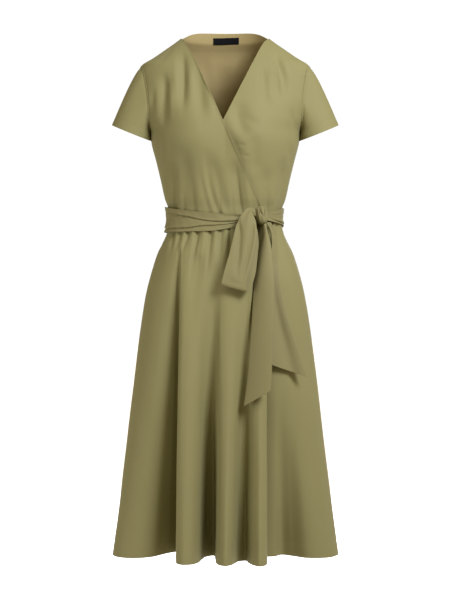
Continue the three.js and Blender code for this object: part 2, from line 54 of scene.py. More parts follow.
# Sizes of the cut, those of the solids or within a millimetre of them.
OVERLAP_OUT = 3.3
BELT_OUT = 7.6
ROUND = 2.2
NECK_BACK_HEIGHT = 24.0
SHOULDER_TIP = -65.0
ARMPIT = -222.0
WAIST = -424.0
HEM = -1212.0
NECK_EDGE_HALF = 95.0
NECK_FLARE = 9.5
OVER_EDGE = (84.0, -405.0)
CROSSING = (-6.0, -203.0)
UNDERLAP_HALF = 52.0
CLOTH_WALL = 1.4
BELT_WALL = 2.0

# The solids stay 0.3 mm apart at their seams; the visible cloth all but meets there.
SEAM_GAP = 0.04
SEAM_ANGLE = 0.01

# Rims' rounding and the label's thickness, in metres.
CLOTH_EDGE = 0.0004
BELT_EDGE = 0.0007
LABEL_EDGE = 0.0002
LABEL_CLOTH = 0.0006

# Rows of the bodice up to the shoulder, closest where the armhole turns over, and columns of the panels.
BODICE_LEVELS = (WAIST + SEAM_GAP / 2, -388, ARMPIT, -96, -75, -67, SHOULDER_TIP, -58)
FRONT_COLUMNS = 170
BACK_COLUMNS = 180
RIGHT_SKIRT_COLUMNS = 336
LEFT_SKIRT_COLUMNS = 130
BACK_SKIRT_COLUMNS = 280

# Sections of the body: height, half width, depth in front, depth behind.
BODY = np.array([
    (24, 99, 34, 74), (8, 102, 36, 75), (0, 105.5, 39, 75.5), (-8, 115, 45, 79.5), (-20, 132, 54, 86),
    (-45, 168, 68, 94), (-65, 198, 77, 98), (-90, 206, 86, 102), (-143, 206, 100, 106),
    (-190, 190, 110, 106), (-222, 175.5, 114, 104), (-241, 174, 115, 102), (-284, 163.5, 113, 98),
    (-331, 152, 106.5, 94), (-378, 141.5, 99.5, 91.5), (-400, 133.5, 94, 89.5), (-424, 131, 90, 88),
], float)
SKIRT = np.array([
    (-424, 131, 90, 88), (-452, 136, 92, 91), (-510, 162, 108, 116), (-613, 189, 122, 140),
    (-793, 214, 122, 150), (-1000, 238, 108, 158), (-1212, 265, 95, 166),
], float)
# Armhole seam: height and distance from the centre.
ARMHOLE = np.array([
    (-65, 198), (-79, 190.5), (-107, 185), (-133, 181), (-165, 179), (-198, 177.5), (-222, 175.5),
], float)
# Bust shaping of the fronts: centre, reach both ways, and how far it stands out.
CUP_X, CUP_Z = 80.0, -236.0
CUP_WIDE, CUP_TALL = 60.0, 72.0
CUP_OUT = 15.0

# Large troughs, as in the solids: ends (x, z) and (x, z), half width, depth.
FRONT_TROUGHS = (
    (-100, -28, -99, -185, 12, 6.5),
    (-142, -78, -140, -225, 13, 7),
    (-62, -60, -58, -200, 15, 4),
    (-44, -262, 4, -434, 16, 6),
    (-96, -250, -82, -434, 17, 5),
    (18, -285, 42, -434, 15, 6),
    (-124, -290, -119, -434, 12, 6),
    (116, -38, 122, -160, 12, 6.5),
    (84, -60, 96, -190, 14, 3.5),
    (136, -275, 126, -434, 13, 6),
    (96, -300, 90, -434, 13, 4),
    (28, -150, 48, -250, 16, 5),
    (66, -226, 70, -330, 15, 3),
)
BACK_TROUGHS = (
    (62, -280, 54, -434, 15, 5.5),
    (-60, -270, -52, -434, 15, 5.5),
    (112, -270, 100, -434, 13, 4),
    (-112, -262, -100, -434, 13, 4),
    (4, -300, 2, -434, 15, 3),
    (128, -100, 112, -240, 14, 5),
    (-128, -100, -112, -240, 14, 5),
    (-60, -40, -52, -220, 17, 3),
    (64, -44, 56, -230, 17, 3),
)

# Creases: ends (x, z) and (x, z), bow to the side, half width, depth (a ridge is negative),
# and lean, which makes the side towards +X wider and the other one steeper. Waist creases run into the belt.
FRONT_CREASES = (
    (-97, -20, -98, -216, 2, 9, 3.2, 0.2),
    (-116, -40, -113, -190, 2, 9, -2.0, 0),
    (-78, -50, -76, -190, 0, 10, -1.8, 0),
    (-141, -70, -144, -240, 2, 10, 3.0, 0.1),
    (-124, -90, -126, -216, 0, 9, -1.8, 0),
    (-166, -108, -171, -205, 0, 9, 3.0, 0),
    (-59, -70, -50, -250, 0, 13, 2.2, 0),
    (-38, -120, -26, -225, 0, 12, -1.8, 0),
    (-108, -10, -164, -78, 0, 8, 2.0, 0),
    (-150, -225, -160, -320, 0, 8, 3.6, 0),
    (-134, -230, -138, -350, 0, 10, -2.0, 0),
    (18, -165, 40, -240, 0, 14, 3.0, 0),
    (34, -188, 88, -222, 0, 12, 2.4, 0),
    (112, -24, 140, -165, 8, 8, 4.8, 0.2),
    (101, -26, 114, -150, 3, 8, -2.8, 0),
    (138, -48, 168, -108, 0, 8, 2.4, 0),
    (89, -58, 95, -172, 0, 10, 2.4, 0),
    (150, -160, 162, -230, 0, 8, 3.0, 0),
    (148, -232, 153, -320, 0, 8, 2.8, 0),
)
FRONT_WAIST_CREASES = (
    (-119, -290, -119, -446, 0, 6, 3.0, 0.2),
    (-130, -300, -127, -446, 0, 7, -1.6, 0),
    (-97, -346, -95, -446, 0, 5, 2.0, 0),
    (-108, -350, -106, -446, 0, 5, -1.0, 0),
    (-78, -310, -68, -446, 0, 8, 2.0, 0),
    (-44, -266, 0, -446, -13, 7, 3.6, 0.2),
    (-30, -268, 12, -446, -12, 9, -1.8, 0),
    (-60, -290, -24, -446, -6, 8, 2.0, 0),
    (-16, -340, -10, -446, 0, 5, 1.6, 0),
    (12, -320, 20, -446, 0, 5, 1.6, 0),
    (22, -290, 44, -446, 0, 6, 4.0, -0.2),
    (38, -288, 60, -446, 0, 9, -2.0, 0),
    (70, -350, 78, -446, 0, 5, 1.8, 0),
    (137, -285, 134, -446, 0, 7, 3.0, 0),
    (116, -312, 112, -446, 0, 8, -1.8, 0),
    (99, -340, 98, -446, 0, 5, 1.8, 0),
)
# The left front falls away and puckers beside the other front's edge.
UNDER_CREASES = (
    (0, -208, 52, -326, 0, 15, 4.2, 0),
    (27, -256, 50, -263, 0, 5, 1.8, 0),
    (37, -281, 60, -286, 0, 5, 1.6, 0),
    (14, -300, 66, -400, 0, 9, 2.4, 0),
)
BACK_CREASES = (
    (-148, -116, -132, -240, 6, 7, 2.8, 0),
    (146, -120, 134, -236, -6, 7, 2.8, 0),
    (-80, -50, 76, -64, 8, 16, 0.8, 0),
    (-98, -30, -70, -140, 0, 9, 1.8, 0),
    (100, -26, 76, -132, 0, 9, 1.8, 0),
    (-104, -200, -156, -270, 0, 9, 2.4, 0),
    (108, -206, 156, -276, 0, 9, 2.2, 0),
    (14, 4, 12, -180, 4, 16, 1.6, 0),
    (-36, 2, -26, -170, 0, 14, 1.4, 0),
    (40, -110, 34, -240, 0, 14, 1.6, 0),
)
BACK_WAIST_CREASES = (
    (-40, -290, -36, -446, 0, 6, 2.4, 0),
    (38, -300, 35, -446, 0, 6, 2.6, 0),
    (-86, -320, -80, -446, 0, 6, 2.4, 0),
    (90, -308, 84, -446, 0, 6, 2.5, 0),
    (12, -340, 10, -446, 0, 5, 1.8, 0),
    (-14, -330, -16, -446, 0, 6, 2.0, 0),
    (-112, -340, -108, -446, 0, 5, 2.2, 0),
    (114, -336, 110, -446, 0, 5, 2.0, 0),
)

# Skirt folds, a row for each crest, edge or hollow, counterclockwise seen from above: place across at the
# waist and at the hem, stand-off at the hem, share of the length that stays smooth, lateness, hem lift.
RIGHT_SKIRT_FOLDS = np.array([
    (-999, -999, 0, 0, 1, 0), (-127, -249, -1, 0.1, 1.3, 0), (-122, -228, -3, 0.1, 1.3, 0),
    (-117, -204, -9, 0.1, 1.3, 1), (-112.5, -178, -26, 0.1, 1.2, 3), (-108.5, -150, -62, 0.09, 1.1, 7),
    (-105, -126.5, -94, 0.08, 1.0, 7), (-101.5, -115.5, -62, 0.08, 1.0, 6), (-99, -110, 20, 0.08, 1.0, 2),
    (-92, -101, 50, 0.08, 1.1, 0), (-80, -87, 62, 0.08, 1.2, 0), (-66, -72, 56, 0.1, 1.3, 0),
    (-56, -61, 32, 0.12, 1.4, 0), (-48, -54, -18, 0.12, 1.4, 2), (-38, -44, -56, 0.13, 1.3, 3),
    (-27, -32, -68, 0.13, 1.3, 3), (-17, -24, -26, 0.14, 1.4, 2), (-9, -19, 36, 0.14, 1.4, 0),
    (2, -10, 66, 0.12, 1.4, 0), (13, 0, 76, 0.12, 1.4, 0), (24, 11, 64, 0.12, 1.4, 0),
    (33, 21, 34, 0.12, 1.4, 0), (43, 34, 0, 0.12, 1.4, 0), (51, 44, -6, 0.12, 1.4, 0),
    (58, 51, 30, 0.12, 1.4, 0), (66, 59, 66, 0.12, 1.4, 0), (76, 70, 84, 0.1, 1.4, 0),
    (84, 82, 70, 0.1, 1.4, 0), (90, 90, 44, 0.1, 1.4, 0),
], float)
LEFT_SKIRT_FOLDS = np.array([
    (-4, 10, -50, 0, 1.4, 4), (40, 56, -52, 0, 1.4, 3), (82, 98, -42, 0.3, 1.4, 3),
    (100, 122, -44, 0.35, 1.5, 3), (112, 144, -60, 0.38, 1.5, 4), (119, 166, -46, 0.38, 1.5, 3),
    (124, 196, -14, 0.3, 1.5, 1), (127, 236, -2, 0.1, 1.3, 0), (999, 999, 0, 0, 1, 0),
], float)
# How far the left front stands out below the hips, for each of its rows.
LEFT_BELLY = np.array([0, 0, 6, 10, 11, 11, 6, 1, 0], float)
BACK_SKIRT_FOLDS = np.array([
    (999, 999, 0, 0, 1, 0), (106, 214, 8, 0.15, 1.4, 0), (88, 160, -34, 0.1, 1.4, 0),
    (66, 108, 30, 0.08, 1.4, 0), (38, 62, -44, 0.06, 1.4, 0), (10, 12, 32, 0.08, 1.4, 0),
    (-16, -36, -42, 0.06, 1.4, 0), (-42, -84, 34, 0.08, 1.4, 0), (-70, -134, -38, 0.1, 1.4, 0),
    (-94, -188, 18, 0.12, 1.4, 0), (-110, -232, -14, 0.2, 1.4, 0), (-999, -999, 0, 0, 1, 0),
], float)
# Gathers below the belt, as the creases above.
FRONT_GATHERS = (
    (-114, -434, -133, -520, 0, 5, 4.8, 0.2),
    (-107, -436, -122, -500, 0, 5, -2.3, 0),
    (-97, -434, -120, -516, 0, 5, 4.8, 0.2),
    (-89, -436, -105, -500, 0, 5, -2.3, 0),
    (-79, -434, -106, -526, 0, 5, 5.2, 0.2),
    (-70, -436, -86, -520, 0, 6, -2.5, 0),
    (-57, -432, -82, -600, -5, 6, 6.0, 0.2),
    (-45, -434, -62, -560, 0, 6, -2.5, 0),
    (-32, -432, -46, -600, 0, 6, 5.6, 0.2),
    (-20, -434, -28, -540, 0, 6, -2.3, 0),
    (-8, -430, -18, -600, 0, 7, 4.4, 0),
    (12, -430, 8, -560, 0, 6, 3.8, 0),
    (30, -430, 30, -540, 0, 6, 3.1, 0),
    (104, -430, 112, -520, 0, 5, 2.7, 0),
    (118, -430, 134, -540, 0, 6, 3.1, 0),
    (-146, -480, -172, -640, 0, 16, 2.4, 0),
    (-62, -500, -84, -760, 0, 16, 3.4, 0),
    (-20, -520, -32, -860, 0, 18, 3.6, 0),
    (136, -560, 166, -980, 0, 22, 3.2, 0),
    (83, -404, 75, -524, 0, 7, 30.0, 0),
    (78, -470, 48, -840, -4, 5.5, 12.0, 0.3),
    (103.5, -404, 108, -500, 0, 6, 26.0, 0),
)
BACK_GATHERS = (
    (110, -432, 132, -530, 0, 6, 4.8, 0),
    (96, -432, 106, -510, 0, 5, 4.1, 0),
    (78, -430, 88, -560, 0, 6, 4.9, 0),
    (54, -430, 62, -520, 0, 5, 3.9, 0),
    (40, -432, 44, -500, 0, 5, -2.0, 0),
    (24, -430, 27, -570, 0, 6, 4.8, 0),
    (-2, -430, -5, -510, 0, 5, 3.7, 0),
    (-14, -432, -18, -500, 0, 5, -2.0, 0),
    (-28, -430, -36, -550, 0, 6, 4.6, 0),
    (-56, -430, -67, -520, 0, 5, 4.2, 0),
    (-82, -430, -99, -565, 0, 6, 4.9, 0),
    (-104, -432, -122, -520, 0, 5, 4.2, 0),
    (60, -560, 86, -1000, 0, 20, 4.4, 0),
    (-60, -560, -78, -940, 0, 20, 4.1, 0),
    (160, -560, 196, -1100, 0, 22, 5.1, 0),
    (-162, -560, -202, -1140, 0, 22, 5.1, 0),
)

# Belt band: angle from the front centre, top, bottom, stand-off.
BELT_BAND = np.array([
    (38, -413, -429, 5.2), (60, -405, -434, -0.5), (90, -398, -439, -2.8), (135, -394, -450, -1),
    (200, -392, -455, 0.6), (270, -395, -454, 0.3), (315, -405, -455, 0.5), (348, -413, -454, 1),
    (372, -417, -442, 1.5), (385, -417, -433, 2),
], float)
# Lengthwise folds of the band: for each angle, the place of the lower and the upper one across it.
BAND_FOLDS = np.array([
    (38, 0.42, 0.70), (60, 0.16, 0.66), (90, 0.10, 0.70), (135, 0.20, 0.60), (200, 0.26, 0.72),
    (250, 0.18, 0.80), (270, 0.158, 0.84), (322, 0.171, 0.715), (345, 0.29, 0.56), (372, 0.32, 0.47),
    (385, 0.36, 0.55),
], float)

# Bow loop, row by row: centre x, y, z, half width, tilt from level.
LOOP = np.array([
    (68.4, -97, -413.5, 8, 82), (58, -107, -411.5, 9, 55), (53, -116, -424, 16, 24),
    (49.5, -122, -440, 21.5, 14), (46, -128, -462, 25, 13), (35.8, -138, -510, 26, 14),
    (22.5, -146, -560, 27, 15), (19.6, -147, -580, 29, 15), (20.5, -144, -586, 29.5, 15),
    (27, -141, -580, 30, 15), (39, -136, -550, 29.5, 14), (48, -122, -490, 28, 12),
    (57, -110, -450, 18, 18), (66.5, -96, -430.5, 6, 60),
], float)

# Belt ends: height, left x and y, right x and y; then the slanted end: left z, x, y and right z, x, y.
FRONT_TAIL = np.array([
    (-438, 85, -91, 93, -93), (-460, 84.5, -96, 98, -99), (-489, 79, -105, 104.5, -112),
    (-520, 73.5, -114, 107, -124), (-580, 65.5, -128, 110, -143), (-680, 59, -139, 107, -162),
    (-780, 52, -149, 104, -175),
], float)
FRONT_TAIL_END = (-853.0, 42.0, -152.0, -817.0, 101.0, -180.0)
BACK_TAIL = np.array([
    (-434, 95, -85, 105, -79), (-458, 105.5, -86, 117, -76), (-480, 107.5, -91, 119, -80),
    (-505, 105, -99, 121, -87), (-530, 95, -108, 120.5, -93), (-560, 85, -118, 123, -101),
    (-613, 80, -126, 131, -108), (-677, 82, -134, 148, -113), (-720, 86, -137, 163, -112),
], float)
BACK_TAIL_END = (-755.0, 90.0, -138.0, -789.0, 186.0, -109.0)

# Knot: centre, the way down its axis, half sizes along it, outwards and across, and its pleats: place round
# the axis in radians, half width, depth as a share of its size.
KNOT_CENTRE = np.array([83.5, -93.5, -418.5])
KNOT_DOWN = np.array([0.16, -0.1, -0.98])
KNOT_LONG, KNOT_OUT, KNOT_WIDE = 20.5, 15.5, 13.0
KNOT_PLEATS = ((-1.2, 0.08, 0.14), (-0.62, 0.06, 0.26), (-0.05, 0.06, 0.3), (0.55, 0.07, 0.22))

# Sleeve hem: centre x and z, half width, half depth, slope across and rise from front to back; its turning;
# then the ways in which the sleeve leaves the shoulder and reaches its hem.
SLEEVE_HEM = (219.4, -221.2, 47.2, 51.0, 0.403, 0.098)
SLEEVE_TURNING = 20
SHOULDER_WAY = np.array([0.78, 0, -0.63])
HEM_WAY = np.array([0.4, 0, -0.917])
# Soft folds of a sleeve: place round it in degrees, half width, depth, and how far it leans on its way down.
SLEEVE_FOLDS = ((38, 10, 1.6, 0.5), (66, 14, 1.2, 0.3), (305, 14, 1.6, -0.4), (330, 9, 1.4, -0.6))

# Label: centre x, half width, top and bottom.
LABEL = (2.0, 30.5, 13.5, -2.5)

# Softboxes: name, the setting that holds its power, size, and place; then where they point, in metres.
SOFTBOXES = (
    ("right_softbox", "key_power", 1.0, (1.4, -1.85, 1.05)),
    ("left_softbox", "side_power", 1.5, (-2.1, -1.6, -1.1)),
    ("back_softbox", "back_power", 1.5, (0.5, 2.9, 0.1)),
)
SOFTBOX_AIM = Vector((0, 0, -0.6))
BACKDROP = 1.03
FLOOR_HALF = 30.0

# Camera: place and the height that it sees at the dress, in metres, and its film in millimetres.
CAMERA_PLACE = (-0.0007, -4.0, -0.613)
PICTURE_HEIGHT = 1.41
FILM = 36

# Colour sockets of a Mix node.
MIX_A, MIX_B, MIX_OUT = 6, 7, 2


def linear(shade):
    """One sRGB hex value as linear red, green and blue: a straight part near black and a power above it."""
    part = np.array([shade >> 16 & 255, shade >> 8 & 255, shade & 255]) / 255
    return tuple(float(v) for v in np.where(part <= 0.04045, part / 12.92, ((part + 0.055) / 1.055) ** 2.4))


def smooth(t):
    """Eases from 0 to 1: three times the square less twice the cube, held outside."""
    t = np.clip(t, 0, 1)
    return t * t * (3 - 2 * t)


def mix(a, b, t):
    """The straight way from a to b."""
    return a + (b - a) * t


def bell(distance, wide):
    """A bell curve: 1 at no distance, and about a third at the given width."""
    return np.exp(-(distance / wide) ** 2)


def cubic(start, leave, end, arrive, t):
    """A cubic from start to end that leaves and arrives with the given slopes."""
    return (
        start * (1 + 2 * t) * (1 - t) ** 2 + leave * t * (1 - t) ** 2
        + end * t * t * (3 - 2 * t) + arrive * t * t * (t - 1)
    )


def through(keys, values, at):
    """A monotone cubic through a table: its slope at each row is the harmonic mean of the straight ones."""
    if keys[0] > keys[-1]:
        keys, at = -keys, -np.asarray(at, float)
    at = np.clip(at, keys[0], keys[-1])
    run = np.diff(keys)
    slope = np.diff(values) / run
    tangent = np.empty(len(keys))
    tangent[0], tangent[-1] = slope[0], slope[-1]
    both = slope[:-1] * slope[1:]
    total = slope[:-1] + slope[1:]
    tangent[1:-1] = np.where(both > 0, 2 * both / np.where(both > 0, total, 1), 0)
    i = np.clip(np.searchsorted(keys, at) - 1, 0, len(keys) - 2)
    step = run[i]
    return cubic(values[i], tangent[i] * step, values[i + 1], tangent[i + 1] * step, (at - keys[i]) / step)


def look_up(table, column, at):
    """One column of a table at any place along its first column."""
    return through(table[:, 0], table[:, column], at)


def signed_power(value, power):
    """A power that keeps its sign."""
    return np.sign(value) * np.abs(value) ** power


def ring(table, angle, z):
    """x and y of a superellipse section at an angle in degrees from the front centre, turning to +X."""
    turn = np.radians(angle)
    sine = signed_power(np.sin(turn), 2 / ROUND)
    cosine = signed_power(np.cos(turn), 2 / ROUND)
    front = look_up(table, 2, z)
    back = look_up(table, 3, z)
    return look_up(table, 1, z) * sine, -np.where(cosine > 0, front, back) * cosine


def angle_at(table, x, z):
    """The angle, under 90 degrees, at which a section is x wide of the centre."""
    share = np.clip(np.abs(x) / look_up(table, 1, z), 0, 1)
    return np.sign(x) * np.degrees(np.arcsin(share ** (ROUND / 2)))


def side_angle(z):
    """Angle of the side seam below the armpit, of the armhole above it, and of the shoulder seam on top."""
    armhole = angle_at(BODY, look_up(ARMHOLE, 1, z), z)
    return np.where((z <= ARMPIT) | (z >= SHOULDER_TIP), 90, armhole)


def trough_depth(troughs, x, z):
    """Depth of the large troughs: a bell curve of the distance from each line, faded in at its ends."""
    depth = 0 * x
    for x1, z1, x2, z2, wide, deep in troughs:
        run_x, run_z = x2 - x1, z2 - z1
        held = np.clip(((x - x1) * run_x + (z - z1) * run_z) / (run_x ** 2 + run_z ** 2), 0, 1)
        away = np.hypot(x - x1 - held * run_x, z - z1 - held * run_z)
        depth = depth + deep * smooth(held / 0.3) * smooth((1 - held) / 0.3) * bell(away, wide)
    return depth


def crease_depth(creases, x, z, fade_in, fade_out):
    """Depth of the creases: along a shallow parabola, a groove with raised lips and one steeper side.

    Each one fades in and out over the given shares of its length.
    """
    depth = 0 * x
    for x1, z1, x2, z2, bow, wide, deep, lean in creases:
        run_x, run_z = x2 - x1, z2 - z1
        long = np.hypot(run_x, run_z)
        along = ((x - x1) * run_x + (z - z1) * run_z) / long ** 2
        held = np.clip(along, 0, 1)
        off = ((z - z1) * run_x - (x - x1) * run_z) / long - bow * 4 * held * (1 - held)
        away = np.hypot(off, (along - held) * long) / (wide * np.where(off > 0, 1 + lean, 1 - lean))
        fade = smooth(held / fade_in) * smooth((1 - held) / fade_out)
        depth = depth + deep * fade * (1 - 0.7 * away ** 2) * np.exp(-away ** 2)
    return depth


def unevenness(x, z, size):
    """Slow hand-of-the-cloth waves: four sines of unlike lengths and directions, added up."""
    return size * (
        0.4 * np.sin(x / 19.0 + z / 83.0) + 0.3 * np.sin(x / 31.0 - z / 47.0 + 1.3)
        + 0.2 * np.sin(x / 11.0 + z / 29.0 + 2.1) + 0.25 * np.sin(z / 37.0 - x / 71.0 + 0.4)
    )


def heights(levels, counts):
    """Rows spread evenly between fixed levels."""
    runs = [np.linspace(a, b, n, endpoint=False) for a, b, n in zip(levels, levels[1:], counts)]
    return np.concatenate([*runs, [levels[-1]]])


def shares(count, crowd):
    """Places from 0 to 1 that crowd towards both ends: a straight run less a sine."""
    t = np.linspace(0, 1, count)
    return t - crowd * np.sin(2 * np.pi * t) / (2 * np.pi)


def normals(grid, closed=False):
    """Unit normals of a grid: the cross product of its central differences along and up it."""
    if closed:
        along = np.roll(grid, -1, 1) - np.roll(grid, 1, 1)
    else:
        along = np.gradient(grid, axis=1)
    out = np.cross(along, np.gradient(grid, axis=0))
    return out / np.maximum(np.linalg.norm(out, axis=2, keepdims=True), 1e-9)


def lengths(grid, axis):
    """Distance in millimetres from a grid's first row or column, added up from point to point."""
    step = np.linalg.norm(np.diff(grid, axis=axis), axis=2)
    start = np.zeros_like(step[:1]) if axis == 0 else np.zeros_like(step[:, :1])
    return np.concatenate([start, np.cumsum(step, axis=axis)], axis=axis)


def seam(distance, along):
    """Depth of a pulled-in seam: a narrow groove and a wide puckered one, both faint on the shoulder."""
    pucker = 1 + 0.22 * np.sin(along / 1.9) + 0.18 * np.sin(along / 4.3 + 1)
    shoulder = 1 - 0.8 * smooth((along - SHOULDER_TIP + 12) / 12)
    return shoulder * (0.75 * bell(distance, 1.6) + 0.45 * pucker * bell(distance, 6))


def bodice_grid(angle, z, troughs, creases, waist_creases, stand_off, sizes):
    """The body's sections with bust shaping; stand-off, troughs and creases act along their outward way."""
    x, y = ring(BODY, angle, z)
    facing = np.cos(np.radians(angle))
    bump = bell(np.abs(x) - CUP_X, CUP_WIDE) * bell(z - CUP_Z, CUP_TALL)
    y = y - CUP_OUT * bump * np.clip(1.6 * facing, 0, 1)
    half = look_up(BODY, 1, z)
    out_x, out_y = x / half ** 2, y / 100 ** 2
    size = np.hypot(out_x, out_y)
    turned = np.minimum(1, 2 * np.abs(facing))
    push = stand_off - trough_depth(troughs, x, z) * turned
    fine = crease_depth(creases, x, z, 0.5, 0.6) + crease_depth(waist_creases, x, z, 0.6, 0.1)
    push = push - sizes.crease_depth * fine * turned
    push = push + unevenness(x, z, 0.45) * turned
    return np.stack([x + out_x / size * push, y + out_y / size * push, z + 0 * x], axis=2)


def over_edge_x(z):
    """Place of the right front's edge: straight to the belt, and turned out at its top."""
    straight = mix(-NECK_EDGE_HALF, OVER_EDGE[0], np.clip(z / OVER_EDGE[1], 0, 1))
    return straight - NECK_FLARE * np.exp(z / 7)


def under_edge_x(z):
    """Place of the left front's edge: turned out at its top, straight, then level under the other front."""
    straight = mix(NECK_EDGE_HALF, CROSSING[0], z / CROSSING[1])
    return np.maximum(-UNDERLAP_HALF, straight + NECK_FLARE * np.exp(z / 7))


def front_heights():
    """Rows of the two fronts."""
    return heights((*BODICE_LEVELS, -14, -0.3), (12, 64, 46, 10, 8, 6, 3, 15, 10))[:, None]


def right_front_grid(sizes):
    """Wearer's right front: from the right side, armhole and shoulder to its edge across the body."""
    z = front_heights()
    u = shares(FRONT_COLUMNS, 0.72)[None, :]
    first = -side_angle(z) + SEAM_ANGLE
    last = angle_at(BODY, over_edge_x(z), z)
    stand_off = OVERLAP_OUT * smooth(u * 1.6) * smooth((last - first) / 60)
    tables = FRONT_TROUGHS, FRONT_CREASES, FRONT_WAIST_CREASES
    grid = bodice_grid(mix(first, last, u), z + 0 * u, *tables, stand_off, sizes)
    across = lengths(grid, 1)
    from_edge = across[:, -1:] - across
    lip = 1.8 * bell(from_edge, 3.2) + 0.8 * bell(from_edge, 14)
    lip = lip * (1 + 0.35 * np.sin(z / 23.0)) * smooth((last - first) / 60)
    return grid + normals(grid) * (lip - seam(across, z) * smooth(from_edge / 12))[:, :, None]


def left_front_grid(sizes):
    """Wearer's left front: from its edge under the other front to the left side."""
    z = front_heights()
    u = shares(FRONT_COLUMNS, 0.72)[None, :]
    first = angle_at(BODY, under_edge_x(z), z)
    last = side_angle(z) - SEAM_ANGLE
    tables = FRONT_TROUGHS, FRONT_CREASES + UNDER_CREASES, FRONT_WAIST_CREASES
    grid = bodice_grid(mix(first, last, u), z + 0 * u, *tables, 0, sizes)
    across = lengths(grid, 1)
    from_side = across[:, -1:] - across
    return grid - normals(grid) * (seam(from_side, z) * smooth(across / 12))[:, :, None]


def back_grid(sizes):
    """Back, from the left side to the right; above the shoulder seams its rows follow the neckline."""
    z = heights((*BODICE_LEVELS, 0, NECK_BACK_HEIGHT), (12, 56, 42, 10, 8, 6, 3, 20, 10))[:, None]
    u = shares(BACK_COLUMNS, 0.6)[None, :]
    edge = side_angle(z)
    angle = mix(180 - edge + SEAM_ANGLE, 180 + edge - SEAM_ANGLE, u)
    neckline = 1 - np.abs(np.sin(np.radians(angle))) ** 5.45
    z = np.where(z > 0, z * neckline, z + 0 * u)
    grid = bodice_grid(angle, z, BACK_TROUGHS, BACK_CREASES, BACK_WAIST_CREASES, 0, sizes)
    across = lengths(grid, 1)
    near = np.minimum(across, across[:, -1:] - across)
    return grid - normals(grid) * (seam(near, z) * smooth(-z / 6))[:, :, None]


def fold_curve(rows, places):
    """A smooth curve through rows of points at many heights at once: cubics whose slopes weigh both sides.

    The first and last row only steer the ends; places count from row to row.
    """
    step = np.maximum(np.linalg.norm(np.diff(rows[:, :, :2], axis=0), axis=2), 1e-6)[:, :, None]
    slope = np.diff(rows, axis=0) / step
    tangent = (step[1:] * slope[:-1] + step[:-1] * slope[1:]) / (step[:-1] + step[1:])
    i = np.minimum(np.floor(places).astype(int), len(rows) - 4)
    leave, arrive = tangent[i] * step[i + 1], tangent[i + 1] * step[i + 1]
    return cubic(rows[i + 1], leave, rows[i + 2], arrive, (places - i)[:, None, None])


def even_places(rows, count):
    """Column places: half by the number of rows and half by the way round, at a height near the hem."""
    way = np.concatenate([[0], np.cumsum(np.linalg.norm(np.diff(rows[1:-1, 20, :2], axis=0), axis=1))])
    numbers = np.arange(len(way))
    by_way = np.interp(np.linspace(0, way[-1], count), way, numbers)
    return mix(by_way, np.linspace(0, numbers[-1], count), 0.45)


def fold_points(folds, drop, face, stand_off):
    """Where fold rows stand at shares of the way down: on the plain section, pushed out as they grow."""
    waist_x, hem_x, out, start, late, lift = folds.T[:, :, None]
    z = mix(WAIST, HEM, drop)
    half = look_up(SKIRT, 1, z)
    depth = look_up(SKIRT, 2 if face < 0 else 3, z)
    x = np.clip(mix(waist_x, hem_x, drop), -half, half)
    y = face * depth * (1 - (np.abs(x) / half) ** ROUND) ** (1 / ROUND)
    grown = np.clip((drop - start) / (1.02 - start), 0, 1) ** late
    out_x, out_y = x / half ** 2, y / depth ** 2
    size = np.hypot(out_x, out_y)
    push = out * grown + stand_off
    return np.stack([x + out_x / size * push, y + out_y / size * push, lift * grown], axis=2)


def skirt_grid(folds, face, stand_off, before, after, columns, gathers, sizes, seams):
    """A skirt panel: at each height a smooth curve through its fold points, with gathers below the waist.

    Face is -1 in front and 1 behind; seams has 0 for a side seam at the first column, 1 at the last.
    """
    z = heights((HEM, HEM + 30, -800, -560, WAIST), (10, 38, 30, 34))
    drop = (z - WAIST) / (HEM - WAIST)
    belly = LEFT_BELLY[:, None] * bell(drop - 0.46, 0.16) if folds is LEFT_SKIRT_FOLDS else 0
    points = fold_points(folds, drop, face, stand_off + belly)
    ends = []
    for row, end, inner in ((before, 0, 1), (after, -1, -2)):
        if row is None:
            ends.append((2 * points[end] - points[inner])[None])
        else:
            ends.append(fold_points(row[None], drop, -face, 0))
    rows = np.concatenate([ends[0], points, ends[1]])
    x, y, lift = np.moveaxis(fold_curve(rows, even_places(rows, columns)), 2, 0).transpose(0, 2, 1)
    z = mix(WAIST - SEAM_GAP / 2, HEM + lift, drop[:, None])
    grid = np.stack([x, y + face * SEAM_GAP / 2, z], axis=2)
    relief = -sizes.crease_depth * crease_depth(gathers, x, z, 0.1, 0.95)
    relief = relief + unevenness(x, z, 0.7) * smooth(drop / 0.1)[:, None]
    relief = relief - 0.3 * bell(lengths(grid, 0) - sizes.hem_depth / MM, 2.2)
    across = lengths(grid, 1)
    from_seam = np.min([np.abs(across - end * across[:, -1:]) for end in seams], axis=0)
    relief = relief - seam(from_seam, z) * smooth((z - HEM - 20) / 60)
    return grid + normals(grid) * relief[:, :, None]


def right_skirt_grid(sizes):
    """Wearer's right front of the skirt, from the right side seam to its free edge."""
    order = np.linspace(0, 1, len(RIGHT_SKIRT_FOLDS))
    stand_off = (OVERLAP_OUT * smooth(order * 3))[:, None]
    ends = (BACK_SKIRT_FOLDS[-2], None)
    return skirt_grid(
        RIGHT_SKIRT_FOLDS, -1, stand_off, *ends, RIGHT_SKIRT_COLUMNS, FRONT_GATHERS, sizes, seams=[0]
    )


def left_skirt_grid(sizes):
    """Wearer's left front of the skirt, from its edge under the other front to the left side seam."""
    ends = (None, BACK_SKIRT_FOLDS[1])
    return skirt_grid(LEFT_SKIRT_FOLDS, -1, 0, *ends, LEFT_SKIRT_COLUMNS, FRONT_GATHERS, sizes, seams=[1])


